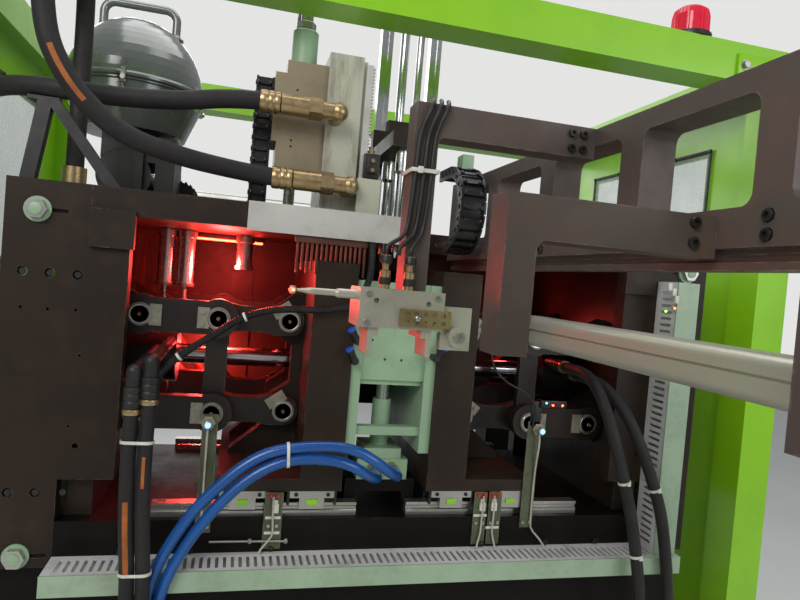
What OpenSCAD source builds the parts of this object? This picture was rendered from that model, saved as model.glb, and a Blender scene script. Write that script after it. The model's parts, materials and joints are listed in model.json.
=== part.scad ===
// Blow moulding machine: toggle clamp with two mould halves, blow pins above,
// a take-out beam in front and an extruder on the platform behind.
// Millimetres, Z up, X across the clamp, -Y towards the operator.
// The origin is on the floor, under the mould's parting line.

/* [Clamp frame] */
// Height of the table top above the floor
table_z = 955; // [900:5:980]
// Half the width of the clamp frame
frame_half = 818; // [800:2:830]
// Depth of the clamp, front to back
clamp_depth = 600; // [590:5:640]
// Underside of the top plate
top_z = 1591; // [1580:1:1610]
// Thickness of the top plate
top_t = 56; // [40:2:60]
// Thickness of the end frames' front and back plates
end_plate_t = 40; // [30:2:46]
// Width of the end frames' front plates
end_plate_w = 235; // [220:1:245]
// Width of the end frames' feet
end_foot_w = 128; // [124:1:140]
// Thickness of the bolster that carries the outer pins
bolster_t = 49; // [40:1:60]
// Width of the legs
leg_w = 120; // [100:5:124]

/* [Toggle] */
// Distance of the outer pins from the parting line
outer_pin_x = 569; // [560:1:575]
// Distance of the elbow pins from the parting line
elbow_x = 400; // [392:1:404]
// Distance of the platen pins from the parting line
platen_pin_x = 234; // [232:1:238]
// Height of the upper row of pins
row_hi_z = 1384; // [1370:1:1400]
// Height of the lower row of pins
row_lo_z = 1165; // [1150:1:1180]
// Radius of the toggle pins
pin_r = 18; // [14:0.5:20]
// Radius of the pins' end caps
cap_r = 26; // [22:0.5:28]
// Thickness of the pins' end caps
cap_t = 8; // [5:0.5:10]
// Front face of the first outer link plate
link_y = 100; // [90:1:105]
// Thickness of the outer link plates
outer_t = 30; // [24:1:34]
// Thickness of the tie plates
tie_t = 20; // [14:1:24]
// Thickness of the inner link plates and of the lugs beside them
inner_t = 40; // [30:1:42]
// Thickness of the platen's ribs
rib_t = 37; // [28:1:40]

/* [Platens and moulds] */
// Thickness of a platen
platen_t = 96; // [84:1:98]
// Top of the platens
platen_top_z = 1535; // [1500:5:1538]
// Thickness of a mould back plate
back_t = 25; // [20:1:30]
// Thickness of a mould half
mould_t = 76; // [70:1:80]
// Depth of the mould, front to back
mould_d = 300; // [280:5:320]
// Underside of the mould
mould_z = 1260; // [1255:1:1270]
// Height of the mould
mould_h = 240; // [230:5:250]
// Half the width of the square bottle cavities
cavity_r = 38; // [30:1:44]
// Radius of the neck bore
neck_r = 15; // [14:0.5:18]
// Distance between the two cavities
cavity_pitch = 150; // [130:5:160]
// Gap between the closed mould halves
parting = 0.2; // [0.1:0.1:0.6]

/* [Guides] */
// Width of a linear rail
rail_w = 28; // [24:1:32]
// Height of a linear rail
rail_h = 30; // [24:1:31]
// Length of a linear carriage
carriage_l = 100; // [90:1:110]
// Width of a linear carriage
carriage_w = 60; // [50:1:64]
// Height of a linear carriage above the table
carriage_h = 62; // [56:1:70]

/* [Blow station] */
// Radius of the blow pins
blow_pin_r = 10; // [8:0.5:12]
// Tip of the blow pins at rest
blow_tip_z = 1560; // [1540:1:1570]
// Radius of the bottom pin
bottom_pin_r = 16.5; // [12:0.5:18]
// Outer radius of the bottom cylinder
bottom_cyl_r = 22.5; // [21:0.5:26]

/* [Take-out beam] */
// Left face of the beam
beam_x = 183; // [175:1:190]
// Thickness of the beam
beam_t = 55; // [45:1:60]
// Underside of the beam
beam_z = 1572; // [1570:1:1580]
// Height of the beam
beam_h = 205; // [190:1:210]
// Front end of the beam
beam_front = 1300; // [1250:5:1350]
// Back end of the beam
beam_back = 240; // [200:5:260]
// Distance between the beam's windows
window_pitch = 263; // [255:1:270]
// Length of a window
window_l = 210; // [190:1:220]

/* [Guard] */
// Inner side of the guard's columns
guard_x = 1008; // [990:2:1030]
// Size of the guard's square tube
tube = 100; // [80:2:110]
// Front of the guard's front columns
guard_front = 28; // [20:1:40]
// Back of the guard
guard_back = 1300; // [1280:5:1350]
// Top of the guard
guard_top = 2212; // [2180:2:2230]

/* [Fits] */
// Radial running clearance of pins and rods
run_fit = 0.05; // [0.02:0.01:0.1]
// Play between sliding flat faces
slide_fit = 0.4; // [0.3:0.1:0.6]
// Gap between the link layers
layer_gap = 0.5; // [0.3:0.1:1]

/* [Hidden] */
$fn = 48;

// Colours
green = [0.55, 0.78, 0.12];
pale_green = [0.6, 0.72, 0.62];
dark = [0.2, 0.17, 0.15];
mauve = [0.42, 0.38, 0.39];
steel = [0.7, 0.71, 0.7];
brass = [0.72, 0.58, 0.36];
black = [0.12, 0.12, 0.12];
pale = [0.72, 0.74, 0.7];

// Clamp frame
top_face = top_z + top_t;
end_in = frame_half - end_plate_w;
foot_in = frame_half - end_foot_w;
foot_z = table_z - 95;
foot_top_z = table_z + 87;
base_t = 40;
bolster_in = outer_pin_x + 59;
bolster_out = bolster_in + bolster_t;
row_list = [row_hi_z, row_lo_z];
hole_x = [frame_half - 39, frame_half - 89, frame_half - 140];

// Toggle layers, front to back; the rear set is the mirror image
tie_y = link_y + outer_t + layer_gap;
inner_y = tie_y + tie_t + layer_gap * 3;
rib_y = inner_y + inner_t + layer_gap * 2;
outer_end_r = 45;
elbow_end_r = 40;
tie_end_r = 25;
lug_r = 40;

// Platens and moulds
platen_in = mould_t + back_t;
platen_out = platen_in + platen_t;
platen_end_r = platen_pin_x - platen_out - 2;
foot_t = 28;
platen_foot_z = table_z + carriage_h;
platen_foot_out = platen_out + 179;
mould_y = 20;
cavity_y = [for (s = [-1, 1]) mould_y + mould_d / 2 + s * cavity_pitch / 2];
cavity_z = mould_z + 30;
neck_z = mould_z + mould_h - 60;
shoulder_z = neck_z - 30;
bottom_pin_y = 100;

// Guides
rail_y = [32, clamp_depth - 32];
rail_in = 60;
rail_out = 508;
carriage_x = [166, 318];

// Closing cylinders
closing_z = (row_hi_z + row_lo_z) / 2;
closing_y = clamp_depth / 2;
closing_rod_r = 25;
closing_cyl_r = 45;

// Top plate opening for the blow pins and the beam
slot_in = -50;
slot_out = 290;
slot_front_in = 55;
slot_back = 330;
slot_step = 40;
die_y = 1000;
platform_back = guard_back - 110;
cyl_head = 130;
cyl_end = bolster_out + 121;
rod_end = bolster_out + 1;
cyl_head_r = 72;

// Take-out beam
beam_rail_h = 25;
beam_rail_w = 31;
beam_rail_x = beam_x + (beam_t - beam_rail_w) / 2;
beam_top = beam_z + beam_h;
arm_w = 38;
grip_y = -450;

// A box between two corners
module span(x0, x1, y0, y1, z0, z1) {
    translate([min(x0, x1), min(y0, y1), min(z0, z1)])
        cube([abs(x1 - x0), abs(y1 - y0), abs(z1 - z0)]);
}

// Cylinders along each axis
module rod_x(x0, x1, y, z, r) {
    translate([x0, y, z]) rotate([0, 90, 0]) cylinder(h = x1 - x0, r = r);
}
module rod_y(x, y0, y1, z, r) {
    translate([x, y0, z]) rotate([-90, 0, 0]) cylinder(h = y1 - y0, r = r);
}
module rod_z(x, y, z0, z1, r) {
    translate([x, y, z0]) cylinder(h = z1 - z0, r = r);
}

// A flat outline in X and Z, given thickness along Y
module plate_xz(y0, y1) {
    translate([0, y1, 0]) rotate([90, 0, 0]) linear_extrude(y1 - y0) children();
}

// A flat outline in Y and Z, given thickness along X
module plate_yz(x0, x1) {
    translate([x0, 0, 0]) rotate([90, 0, 90]) linear_extrude(x1 - x0) children();
}

// A hexagonal prism along Y
module hex_y(x, y0, y1, z, across) {
    translate([x, y1, z]) rotate([90, 0, 0])
        cylinder(h = y1 - y0, r = across / sqrt(3), $fn = 6);
}

// A rectangle with round corners, from its low corner
module round_rect(w, h, r) {
    translate([r, 0]) square([w - 2 * r, h]);
    translate([0, r]) square([w, h - 2 * r]);
    for (x = [r, w - r], y = [r, h - r]) translate([x, y]) circle(r);
}

// A copy on each side of the parting plane
module both_sides() {
    children();
    mirror([1, 0, 0]) children();
}

// A part of the front link set and its mirror image in the rear set
module both_sets() {
    children();
    translate([0, clamp_depth, 0]) mirror([0, 1, 0]) children();
}

// The base: table, fascia, legs and the posts of the rear platform
module base_frame() {
    leg = leg_w;
    ring = 80;
    ring_z = 60;
    plate_z = table_z - base_t;
    x_in = foot_in - 0.5;
    post_y = platform_back - leg;
    riser_y = [50, 170];
    color(dark) {
        span(-x_in, x_in, 0, end_plate_t + 1, plate_z, table_z);
        span(-frame_half, frame_half, end_plate_t, clamp_depth, plate_z, table_z);
        span(-x_in, x_in, 0, 20, plate_z - 400, plate_z + 1);
        both_sides() {
            for (y = [end_plate_t, clamp_depth - leg])
                span(frame_half - leg, frame_half, y, y + leg, ring_z, plate_z + 1);
            span(frame_half - leg, frame_half, post_y, platform_back, ring_z, top_z);
            span(frame_half - ring, frame_half, end_plate_t, post_y + 1, ring_z, ring_z + ring);
            span(frame_half - ring, frame_half, clamp_depth, post_y + 1, top_z - 100, top_z);
            span(290, 310, 0, end_plate_t, foot_z - 15, foot_z + 15);
        }
        span(-frame_half, frame_half, end_plate_t, end_plate_t + ring, ring_z, ring_z + ring);
        span(-frame_half, frame_half, clamp_depth - ring, clamp_depth, ring_z, ring_z + ring);
        span(-frame_half, frame_half, post_y, platform_back, ring_z, ring_z + ring);
        span(-frame_half, frame_half, post_y + 10, platform_back, top_z - 100, top_z);
        // Riser under the bottom cylinder
        difference() {
            span(-85, 85, riser_y[0], riser_y[1], table_z - 1, table_z + 77);
            span(-55, 55, riser_y[0] - 1, riser_y[1] + 1, table_z, table_z + 45);
        }
    }
}

module leveling_feet() {
    half = leg_w / 2;
    leg_mid = frame_half - half;
    color(black) for (x = [-leg_mid, leg_mid])
        for (y = [end_plate_t + half, clamp_depth - half, platform_back - half])
            translate([x, y, 0]) {
                cylinder(h = 18, r = 58);
                translate([0, 0, 18]) cylinder(h = 42, r = 20);
            }
}

// Outline of an end frame's front plate, on the right side
module end_outline() {
    polygon([[foot_in, foot_z], [frame_half, foot_z], [frame_half, top_face],
        [end_shoulder, top_face], [end_shoulder, top_z], [end_in, top_z],
        [end_in, foot_top_z], [foot_in, foot_top_z]]);
}
end_shoulder = frame_half - 157;

// One lug that holds an outer pin, in the layer of the inner links
module outer_lug(z) {
    difference() {
        plate_xz(inner_y, inner_y + inner_t) {
            polygon([[bolster_in + 1, z - 62], [bolster_in + 1, z + 62],
                [outer_pin_x + 10, z + lug_r - 1], [outer_pin_x + 10, z - lug_r + 1]]);
            translate([outer_pin_x, z]) circle(lug_r);
        }
        rod_y(outer_pin_x, inner_y - 1, inner_y + inner_t + 1, z, pin_r + run_fit);
    }
}

// An end frame, drawn on the right side
module end_frame() {
    small_holes = [[frame_half - 40, 1390], [frame_half - 89, 1389], [frame_half - 141, 1390],
        [frame_half - 154, 1298], [frame_half - 142, 1152]];
    bolt_slot_l = 30;
    color(dark) {
        difference() {
            plate_xz(0, end_plate_t) end_outline();
            for (x = hole_x, z = [table_z + 507, table_z + 60])
                rod_y(x, -1, end_plate_t + 1, z, 9.5);
            for (p = small_holes) rod_y(p[0], -1, 12, p[1], 3);
            rod_y(frame_half - 157, -1, 18, 1112, 6);
            for (p = bolt_places)
                span(p[0] - 25 - bolt_slot_l, p[0] - 25, -1, 10, p[1] - 4, p[1] + 4);
        }
        span(end_in, frame_half, clamp_depth - end_plate_t, clamp_depth, table_z, top_z);
        difference() {
            union() {
                span(bolster_in, bolster_out, end_plate_t - 1, clamp_depth - end_plate_t + 1,
                    table_z, top_z);
                both_sets() for (z = row_list) outer_lug(z);
            }
            rod_x(bolster_in - 1, bolster_out + 1, closing_y, closing_z, closing_cyl_r);
        }
        span(bolster_out - 1, frame_half, end_plate_t - 1, clamp_depth - end_plate_t + 1,
            table_z, table_z + 24);
    }
}
bolt_places = [[frame_half - 60, top_z - 4], [frame_half - 62, foot_z + 25]];

module end_frame_right() { end_frame(); }
module end_frame_left() { mirror([1, 0, 0]) end_frame(); }

module top_plate() {
    tab_x = [end_shoulder - 87, end_shoulder];
    stand = [[[-775, 1812], [-748, 1812], [-773, top_face + 0.3], [-800, top_face + 0.3]],
        [[-762, 1808], [-736, 1808], [-612, top_face - 1], [-640, top_face - 1]],
        [[-795, 1806], [-737, 1806], [-737, 1813.2], [-795, 1813.2]]];
    color(dark) {
        difference() {
            span(-frame_half, frame_half, 0, platform_back, top_z, top_face);
            both_sides() span(end_shoulder - 0.3, frame_half + 1, -1, end_plate_t + 0.3,
                top_z - 1, top_face + 1);
            span(slot_front_in, slot_out, -1, slot_back, top_z - 1, top_face + 1);
            span(slot_in, slot_out, slot_step, slot_back, top_z - 1, top_face + 1);
            rod_z(0, die_y, top_z - 1, top_face + 1, 105);
        }
        both_sides() span(tab_x[0], tab_x[1] - 0.3, -14, 0, top_z - 69, top_z + 9);
    }
    // Stand that holds up the left pressure hose
    color(black) plate_xz(12, 36) for (p = stand) polygon(p);
}

// Dark plate that closes the clamp's back above the closing cylinders' level
module rear_cover() {
    low = 1100;
    side_x = 320;
    lap = 40;
    color(dark) {
        span(-end_in - lap, end_in + lap, clamp_depth + 6, clamp_depth + 12, low, top_z - 0.3);
        both_sides() span(side_x, end_in + lap, clamp_depth + 0.3, clamp_depth + 7, low,
            top_z - 0.3);
    }
}

// The pale folded cover strip on the top plate's front edge
module front_strip() {
    sheet = 3;
    strip_x = [-353, 50];
    color(pale) plate_yz(strip_x[0], strip_x[1])
        polygon([[-sheet, top_z - 4], [0, top_z - 4], [0, top_face],
            [38, top_face], [38, top_face + sheet], [-sheet, top_face + sheet]]);
}

module frame_bolts() {
    places = [bolt_places[0], [-bolt_places[0][0], bolt_places[0][1]],
        [-bolt_places[1][0], bolt_places[1][1]]];
    color(steel) for (p = places) {
        rod_y(p[0], -4, 0, p[1], 21);
        hex_y(p[0], -19, -4, p[1], 36);
    }
}

// Cross-section of a linear rail, centred on its foot
module rail_section() {
    w = rail_w / 2;
    waist = w - 4;
    polygon([[-w, 0], [w, 0], [w, rail_h * 0.4], [waist, rail_h * 0.52],
        [waist, rail_h * 0.66], [w, rail_h * 0.78], [w, rail_h], [-w, rail_h],
        [-w, rail_h * 0.78], [-waist, rail_h * 0.66], [-waist, rail_h * 0.52],
        [-w, rail_h * 0.4]]);
}

module slide_rails() {
    color(steel) both_sides() for (y = rail_y)
        translate([rail_in, y, table_z]) rotate([90, 0, 90])
            linear_extrude(rail_out - rail_in) rail_section();
}

// A row of slots along X in a duct's top wall
module duct_slots(length, y0, y1, margin) {
    pitch = 16;
    slot_w = 7;
    count = floor((length - 2 * margin) / pitch);
    for (i = [0 : count]) translate([margin + i * pitch, y0])
        union() {
            translate([0, slot_w / 2]) square([slot_w, y1 - y0 - slot_w]);
            for (y = [slot_w / 2, y1 - y0 - slot_w / 2])
                translate([slot_w / 2, y]) circle(slot_w / 2);
        }
}

// A slotted duct and its lid, along X, mouth towards -Y
module cable_duct(length, depth, height) {
    wall = 3;
    lip = 2;
    difference() {
        span(0, length, -depth + lip, 0, 0, height);
        span(-1, length + 1, -depth, -wall, wall, height - wall);
        translate([0, 0, height - wall - 1]) linear_extrude(wall + 2)
            duct_slots(length, -depth + 16, -18, 20);
    }
    span(0, length, -depth - lip, -depth + lip, -1, height + 1);
}

module cable_duct_lower() {
    color(pale) translate([-foot_in, 0, foot_z - 18]) cable_duct(2 * foot_in + 56, 88, 40);
}

module cable_duct_side() {
    duct_h = 58;
    duct_x = [foot_in - 14, foot_in - 14 + duct_h];
    color(pale) translate([duct_x[1], 0, foot_z + 24])
        rotate([0, -90, 0]) cable_duct(675, 78, duct_h);
}

module guard_frame() {
    out = guard_x + tube;
    low = 80;
    color(green) {
        both_sides() {
            span(guard_x, out, guard_front, guard_front + tube, 0, guard_top);
            span(guard_x, out, guard_back - tube, guard_back, 0, guard_top);
            span(guard_x, out, guard_front + tube - 1, guard_back - tube + 1,
                guard_top - tube, guard_top);
            span(guard_x, out, guard_front + tube - 1, guard_back - tube + 1, low, low + tube);
        }
        span(-guard_x - 1, guard_x + 1, guard_front, guard_front + tube,
            guard_top - tube, guard_top);
        span(-guard_x - 1, guard_x + 1, guard_back - tube, guard_back,
            guard_top - tube, guard_top);
        span(-guard_x - 1, guard_x + 1, guard_back - tube, guard_back, low, low + tube);
    }
}

// Window opening in a side panel, in Y and Z
window_y = [330, 960];
window_z = [guard_top - 732, guard_top - 232];
panel_x = guard_x + tube / 2;

module guard_panels() {
    sheet = 3;
    color(green) both_sides() difference() {
        span(panel_x, panel_x + sheet, guard_front + tube, guard_back - tube,
            80 + tube, guard_top - tube);
        span(panel_x - 1, panel_x + sheet + 1, window_y[0], window_y[1],
            window_z[0], window_z[1]);
    }
}

module guard_windows() {
    pane = 4;
    rim = 22;
    color([0.8, 0.88, 0.86, 0.4]) both_sides()
        span(panel_x - pane, panel_x, window_y[0] - rim, window_y[1] + rim,
            window_z[0] - rim, window_z[1] + rim);
}

module beacon() {
    color("red") translate([757, guard_front + tube / 2, guard_top])
        rotate_extrude() polygon([[0, 0], [52, 0], [52, 12], [47, 14], [46, 62],
            [42, 76], [32, 84], [16, 88], [0, 88]]);
}

// Block and barrel under the mould
block_z = table_z + 77;
cyl_z = block_z + 72;
cyl_top = mould_z - 45;
module pin_cylinder() {
    color(pale_green) {
        span(-61, 61, 40, 160, block_z, block_z + 48);
        span(-45, 45, 48, 152, block_z + 48, cyl_z);
        difference() {
            rod_z(0, bottom_pin_y, cyl_z, cyl_top, bottom_cyl_r);
            rod_z(0, bottom_pin_y, cyl_z + 6, cyl_top + 1, bottom_pin_r + run_fit);
        }
    }
}

module bottom_pin() {
    color(steel) {
        rod_z(0, bottom_pin_y, cyl_top - 43, mould_z - 2, bottom_pin_r);
    }
}

// Pale green column beside the blow pins, with its rail and foot block
column_x = [-192, -110];
column_y = [100, 300];
column_top = 2028;
module blow_column() {
    color(pale_green) {
        span(column_x[0], column_x[1], column_y[0], column_y[1], top_face, column_top);
        span(column_x[1] - 1, -56, 60, 130, top_face, top_face + 90);
        span(column_x[1] - 1, -96, column_y[0] + 30, column_y[0] + 60, top_face, column_top);
    }
}

module valve_manifold() {
    block_x = -314;
    color([0.55, 0.52, 0.45]) difference() {
        plate_xz(110, 230) polygon([[block_x + 12, 1738], [column_x[0], 1738],
            [column_x[0], 1997], [block_x + 26, 1997], [block_x + 26, 1966],
            [block_x, 1966], [block_x, 1806], [block_x + 12, 1806]]);
        for (p = [[-262, 1930], [-262, 1914], [-268, 1812], [-268, 1798]])
            rod_y(p[0], 109, 122, p[1], 2.5);
    }
}

// Guide columns behind the opening, joined by a head plate
guide_y = 365;
guide_top = 2230;
guide_x = [-8, 46, 134];
module guide_columns() {
    color(steel) {
        for (x = [guide_x[0], guide_x[2]])
            translate([x - 16, guide_y - 15, top_face]) difference() {
                cube([32, 30, guide_top - top_face]);
                for (s = [0, 1]) translate([16 - 4, s * 24 - 1 + s, -1])
                    cube([8, 6, guide_top - top_face + 2]);
            }
        rod_z(guide_x[1], guide_y, top_face, guide_top, 12.5);
        rod_z(92, guide_y, top_face, guide_top, 10);
        span(guide_x[0] - 30, guide_x[2] + 30, guide_y - 35, guide_y + 35,
            guide_top, guide_top + 25);
    }
}

// Carriage that lowers the blow pins
carriage_z = [1822, 1952];
module blow_carriage() {
    color(dark) {
        difference() {
            span(guide_x[1] - 36, guide_x[1] + 64, guide_y - 30, guide_y + 30,
                carriage_z[0], carriage_z[1]);
            rod_z(guide_x[1], guide_y, carriage_z[0] - 1, carriage_z[1] + 1, 12.5 + run_fit);
            rod_z(92, guide_y, carriage_z[0] - 1, carriage_z[1] + 1, 10 + run_fit);
        }
        span(-36, 36, cavity_y[0] - 40, guide_y - 29, carriage_z[0], carriage_z[0] + 36);
        span(-36, 36, guide_y - 60, guide_y - 29, carriage_z[0], carriage_z[1] - 40);
    }
}

module blow_pins() {
    color(steel) for (y = cavity_y) translate([0, y, 0]) rotate_extrude()
        polygon([[0, blow_tip_z], [blow_pin_r - 5, blow_tip_z], [blow_pin_r, blow_tip_z + 14],
            [blow_pin_r, carriage_z[0] - 60], [blow_pin_r + 6, carriage_z[0] - 52],
            [blow_pin_r + 6, carriage_z[0]], [0, carriage_z[0]]]);
}

// Hopper over the extruder's feed throat
hopper_x = -693;
hopper_y = 600;
hopper_r = 180;
barrel_z = 1735;
barrel_r = 72;
throat_top = 1850;
rim_z = 1989;
module hopper() {
    t = 5;
    low = throat_top;
    drum = rim_z - 41;
    color([0.22, 0.26, 0.24]) translate([hopper_x, hopper_y, 0]) rotate_extrude()
        polygon([[40, low], [74, low], [74, low + 10], [146, low + 14],
            [hopper_r, drum], [hopper_r, rim_z - 10], [hopper_r + 9, rim_z - 10],
            [hopper_r + 9, rim_z], [hopper_r - t, rim_z], [hopper_r - t, drum + 2],
            [146 - t, low + 20], [46, low + 15], [40, low + 8]]);
}

// Domed lid with a bar handle
module hopper_lid() {
    rise = 205;
    t = 4;
    n = 14;
    grip_half = 99;
    grip_r = 12;
    bend = 32;
    grip_z = 250;
    edge = hopper_r + 6;
    arc_out = [for (i = [0 : n]) [edge * cos(90 * i / n), rise * sin(90 * i / n)]];
    arc_in = [for (i = [n : -1 : 0])
        [(edge - t) * cos(90 * i / n), (rise - t) * sin(90 * i / n)]];
    foot_z = 158;
    color([0.22, 0.26, 0.24]) translate([hopper_x, hopper_y, rim_z]) {
        rotate_extrude() {
            polygon([for (i = [0 : n]) arc_out[i], for (i = [0 : n]) arc_in[i]]);
            polygon([[edge - t, 0], [hopper_r + 9, 0], [hopper_r + 9, 6], [edge - t, 6]]);
        }
        for (s = [-1, 1]) {
            rod_z(s * grip_half, 0, foot_z, grip_z - bend, grip_r);
            translate([s * (grip_half - bend), 0, grip_z - bend])
                rotate([90, 0, 0]) mirror([s < 0 ? 1 : 0, 0, 0])
                rotate_extrude(angle = 90) translate([bend, 0]) circle(grip_r);
        }
        rod_x(-grip_half + bend, grip_half - bend, 0, grip_z, grip_r);
    }
}

module extruder_barrel() {
    y0 = 500;
    color([0.75, 0.75, 0.74]) {
        difference() {
            union() {
                rod_y(hopper_x, y0, die_y + 60, barrel_z, barrel_r);
                for (y = [y0 + 230, y0 + 330, y0 + 430])
                    rod_y(hopper_x, y, y + 14, barrel_z, barrel_r + 6);
                span(hopper_x, hopper_x + barrel_r + 6, die_y - 42, die_y + 42,
                    barrel_z - 42, barrel_z + 42);
            }
            rod_z(hopper_x, hopper_y, barrel_z, barrel_z + barrel_r + 1, 40);
        }
        for (y = [y0 + 215, y0 + 480])
            span(hopper_x - 45, hopper_x + 45, y, y + 40, top_face, barrel_z - 40);
    }
}

// Feed throat block over the barrel, its post, and the drive beside it
module extruder_drive() {
    block_x = [hopper_x - 62, hopper_x + 133];
    block_y = [499, 690];
    case_x = hopper_x + barrel_r + 10;
    color(black) {
        difference() {
            span(block_x[0], block_x[1], block_y[0], block_y[1], barrel_z + 42, throat_top - 0.3);
            rod_y(hopper_x, block_y[0] - 1, block_y[1] + 1, barrel_z, barrel_r + 0.4);
            rod_z(hopper_x, hopper_y, barrel_z + 41, throat_top + 1, 40);
        }
        span(case_x, block_x[1], block_y[0], 700, top_face, barrel_z + 43);
        span(hopper_x + 29, hopper_x + 51, 480, block_y[0] + 1, top_face, throat_top - 0.3);
        rod_y(case_x + 49, 699, 880, 1712, 46);
    }
}

module die_head() {
    color(steel) translate([0, die_y, 0]) {
        rotate_extrude() polygon([[0, 1560], [34, 1560], [34, 1590], [38, 1590],
            [38, 1560], [62, 1560], [62, 1600], [92, 1640], [92, 1880], [60, 1910], [0, 1910]]);
        rod_x(hopper_x + barrel_r + 6, -80, 0, barrel_z, 34);
        difference() {
            span(-130, 130, -120, 120, top_face, top_face + 24);
            rod_z(0, 0, top_face - 1, top_face + 25, 91);
        }
    }
}

// A hose: rings across a list of points, joined into one tube
function unit(v) = v / norm(v);
function tangent(p, i) = unit(p[min(i + 1, len(p) - 1)] - p[max(i - 1, 0)]);
function side(t) = unit(cross(t, abs(t[0]) > 0.9 ? [0, 1, 0] : [1, 0, 0]));
module hose(p, r) {
    n = 8;
    rings = [for (i = [0 : len(p) - 1])
        let (t = tangent(p, i), a = side(t), b = cross(t, a))
        [for (k = [0 : n - 1]) p[i] + r * (a * cos(360 * k / n) + b * sin(360 * k / n))]];
    polyhedron(points = [for (ring = rings, q = ring) q],
        faces = concat([[for (k = [0 : n - 1]) k]],
            [for (i = [0 : len(p) - 2], k = [0 : n - 1])
                [i * n + k, (i + 1) * n + k, (i + 1) * n + (k + 1) % n, i * n + (k + 1) % n]],
            [[for (k = [n - 1 : -1 : 0]) (len(p) - 1) * n + k]]));
}

// Hose routes, end to end
upper_a = [[-262.3, 40, 1712], [-310, 40, 1712], [-400, 22, 1716], [-509, -24, 1725],
    [-601, -52, 1748], [-678, -73.8, 1804], [-730, -87.8, 1885], [-750, -90, 1980],
    [-752, -90, 2078], [-753.5, -77.2, 2142.3], [-754.8, -40.8, 2196.8],
    [-755.7, 13.7, 2233.2], [-756, 78, 2246], [-756, 142.3, 2233.2], [-756, 196.8, 2196.8],
    [-756, 233.2, 2142.3], [-756, 246, 2078], [-756, 246, 1708]];
upper_b = [[-300.3, 45, 1876], [-345, 45, 1876], [-420, 39, 1867], [-510, 30, 1848],
    [-620, 23, 1836], [-742, 23, 1834], [-824, 43.4, 1834], [-886, 101, 1836],
    [-947, 158, 1836], [-1028, 178, 1836], [-1040, 178, 1836]];
left_a = [[-541, -118, 1262], [-541, -118, 1210], [-541, -123, 1140], [-536, -131, 1020],
    [-526, -131, 880], [-524, -131, 763], [-524, -115.6, 705.5], [-524, -73.5, 663.4],
    [-524, -16, 648], [-524, -0.3, 648]];
left_b = [[-511, -118, 1282], [-511, -118, 1210], [-511, -123, 1140], [-507, -131, 1020],
    [-497, -131, 880], [-495, -131, 763], [-495, -115.6, 705.5], [-495, -73.5, 663.4],
    [-495, -16, 648], [-495, -0.3, 648]];
right_a = [[511, 189.7, 1310], [511, 100, 1310], [508, 44, 1310], [502, -8, 1302],
    [500, -52, 1278], [505, -81, 1241], [518, -95, 1193], [548, -105, 1098], [578, -110, 1000],
    [600, -122, 880], [607, -128, 819], [609, -130, 763], [611, -114.6, 705.5],
    [612, -72.5, 663.4], [612, -15, 648], [612, -0.3, 648]];
right_b = [[545, 189.7, 1290], [545, 100, 1290], [544, 50, 1290], [548, 2, 1282],
    [558, -42, 1257], [574, -74, 1218], [593, -90, 1174], [628, -103, 1090],
    [662, -108, 1000], [690, -108, 880], [700, -108, 820], [706, -108, 762],
    [710, -92.6, 704.5], [713, -50.5, 662.4], [714, 7, 647], [714, 39.7, 647]];
air_a = [[22, 18, 1062], [22, -6, 1062], [12.6, -52.9, 1069], [-13.3, -88.9, 1088.5],
    [-49.6, -105.5, 1115.7], [-85, -106, 1135], [-129, -105, 1146], [-210, -104, 1145],
    [-277, -104, 1132], [-328, -104, 1102], [-371, -104, 1062], [-411, -104, 1018],
    [-441, -104, 972], [-466, -104, 925], [-485, -104, 875], [-494, -104, 820],
    [-495, -91.4, 773], [-495, -57, 738.6], [-495, -10, 726], [-495, -0.3, 726]];
air_b = [[-24, 18, 1058], [-24, -6, 1058], [-33.5, -51, 1064], [-60, -85.6, 1080.4],
    [-97, -101.5, 1103.6], [-140, -104, 1117], [-208, -104, 1120], [-263, -104, 1108],
    [-312, -104, 1079], [-355, -104, 1039], [-390, -104, 996], [-418, -104, 955],
    [-441, -104, 912], [-460, -104, 866], [-470, -104, 818], [-471, -91.4, 771],
    [-471, -57, 736.6], [-471, -10, 724], [-471, -0.3, 724]];
upper_hose_r = 20;
lower_hose_r = 14;
air_hose_r = 11.5;

module hydraulic_hoses() {
    color(black) {
        hose(upper_a, upper_hose_r);
        hose(upper_b, upper_hose_r);
        for (p = [left_a, left_b, right_a, right_b]) hose(p, lower_hose_r);
    }
}

module air_hoses() {
    color([0.1, 0.45, 0.85]) {
        hose(air_a, air_hose_r);
        hose(air_b, air_hose_r);
    }
}

// Ferrule, nut and elbow of an upper hose, along +X from the origin
module elbow_set(back) {
    rod_x(0, 62, 0, 0, upper_hose_r + 3);
    translate([62, 0, 0]) rotate([0, 90, 0]) cylinder(h = 30, r = 26, $fn = 6);
    rod_x(92, 130, 0, 0, 19);
    translate([130, 0, 0]) {
        sphere(22);
        rod_y(0, 0, back, 0, 19);
    }
}

// The closing cylinder's head with a little room round it, right side
module head_room() {
    rod_x(bolster_in - cyl_head - 60, bolster_in + 60, closing_y, closing_z, cyl_head_r + 0.3);
}

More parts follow.
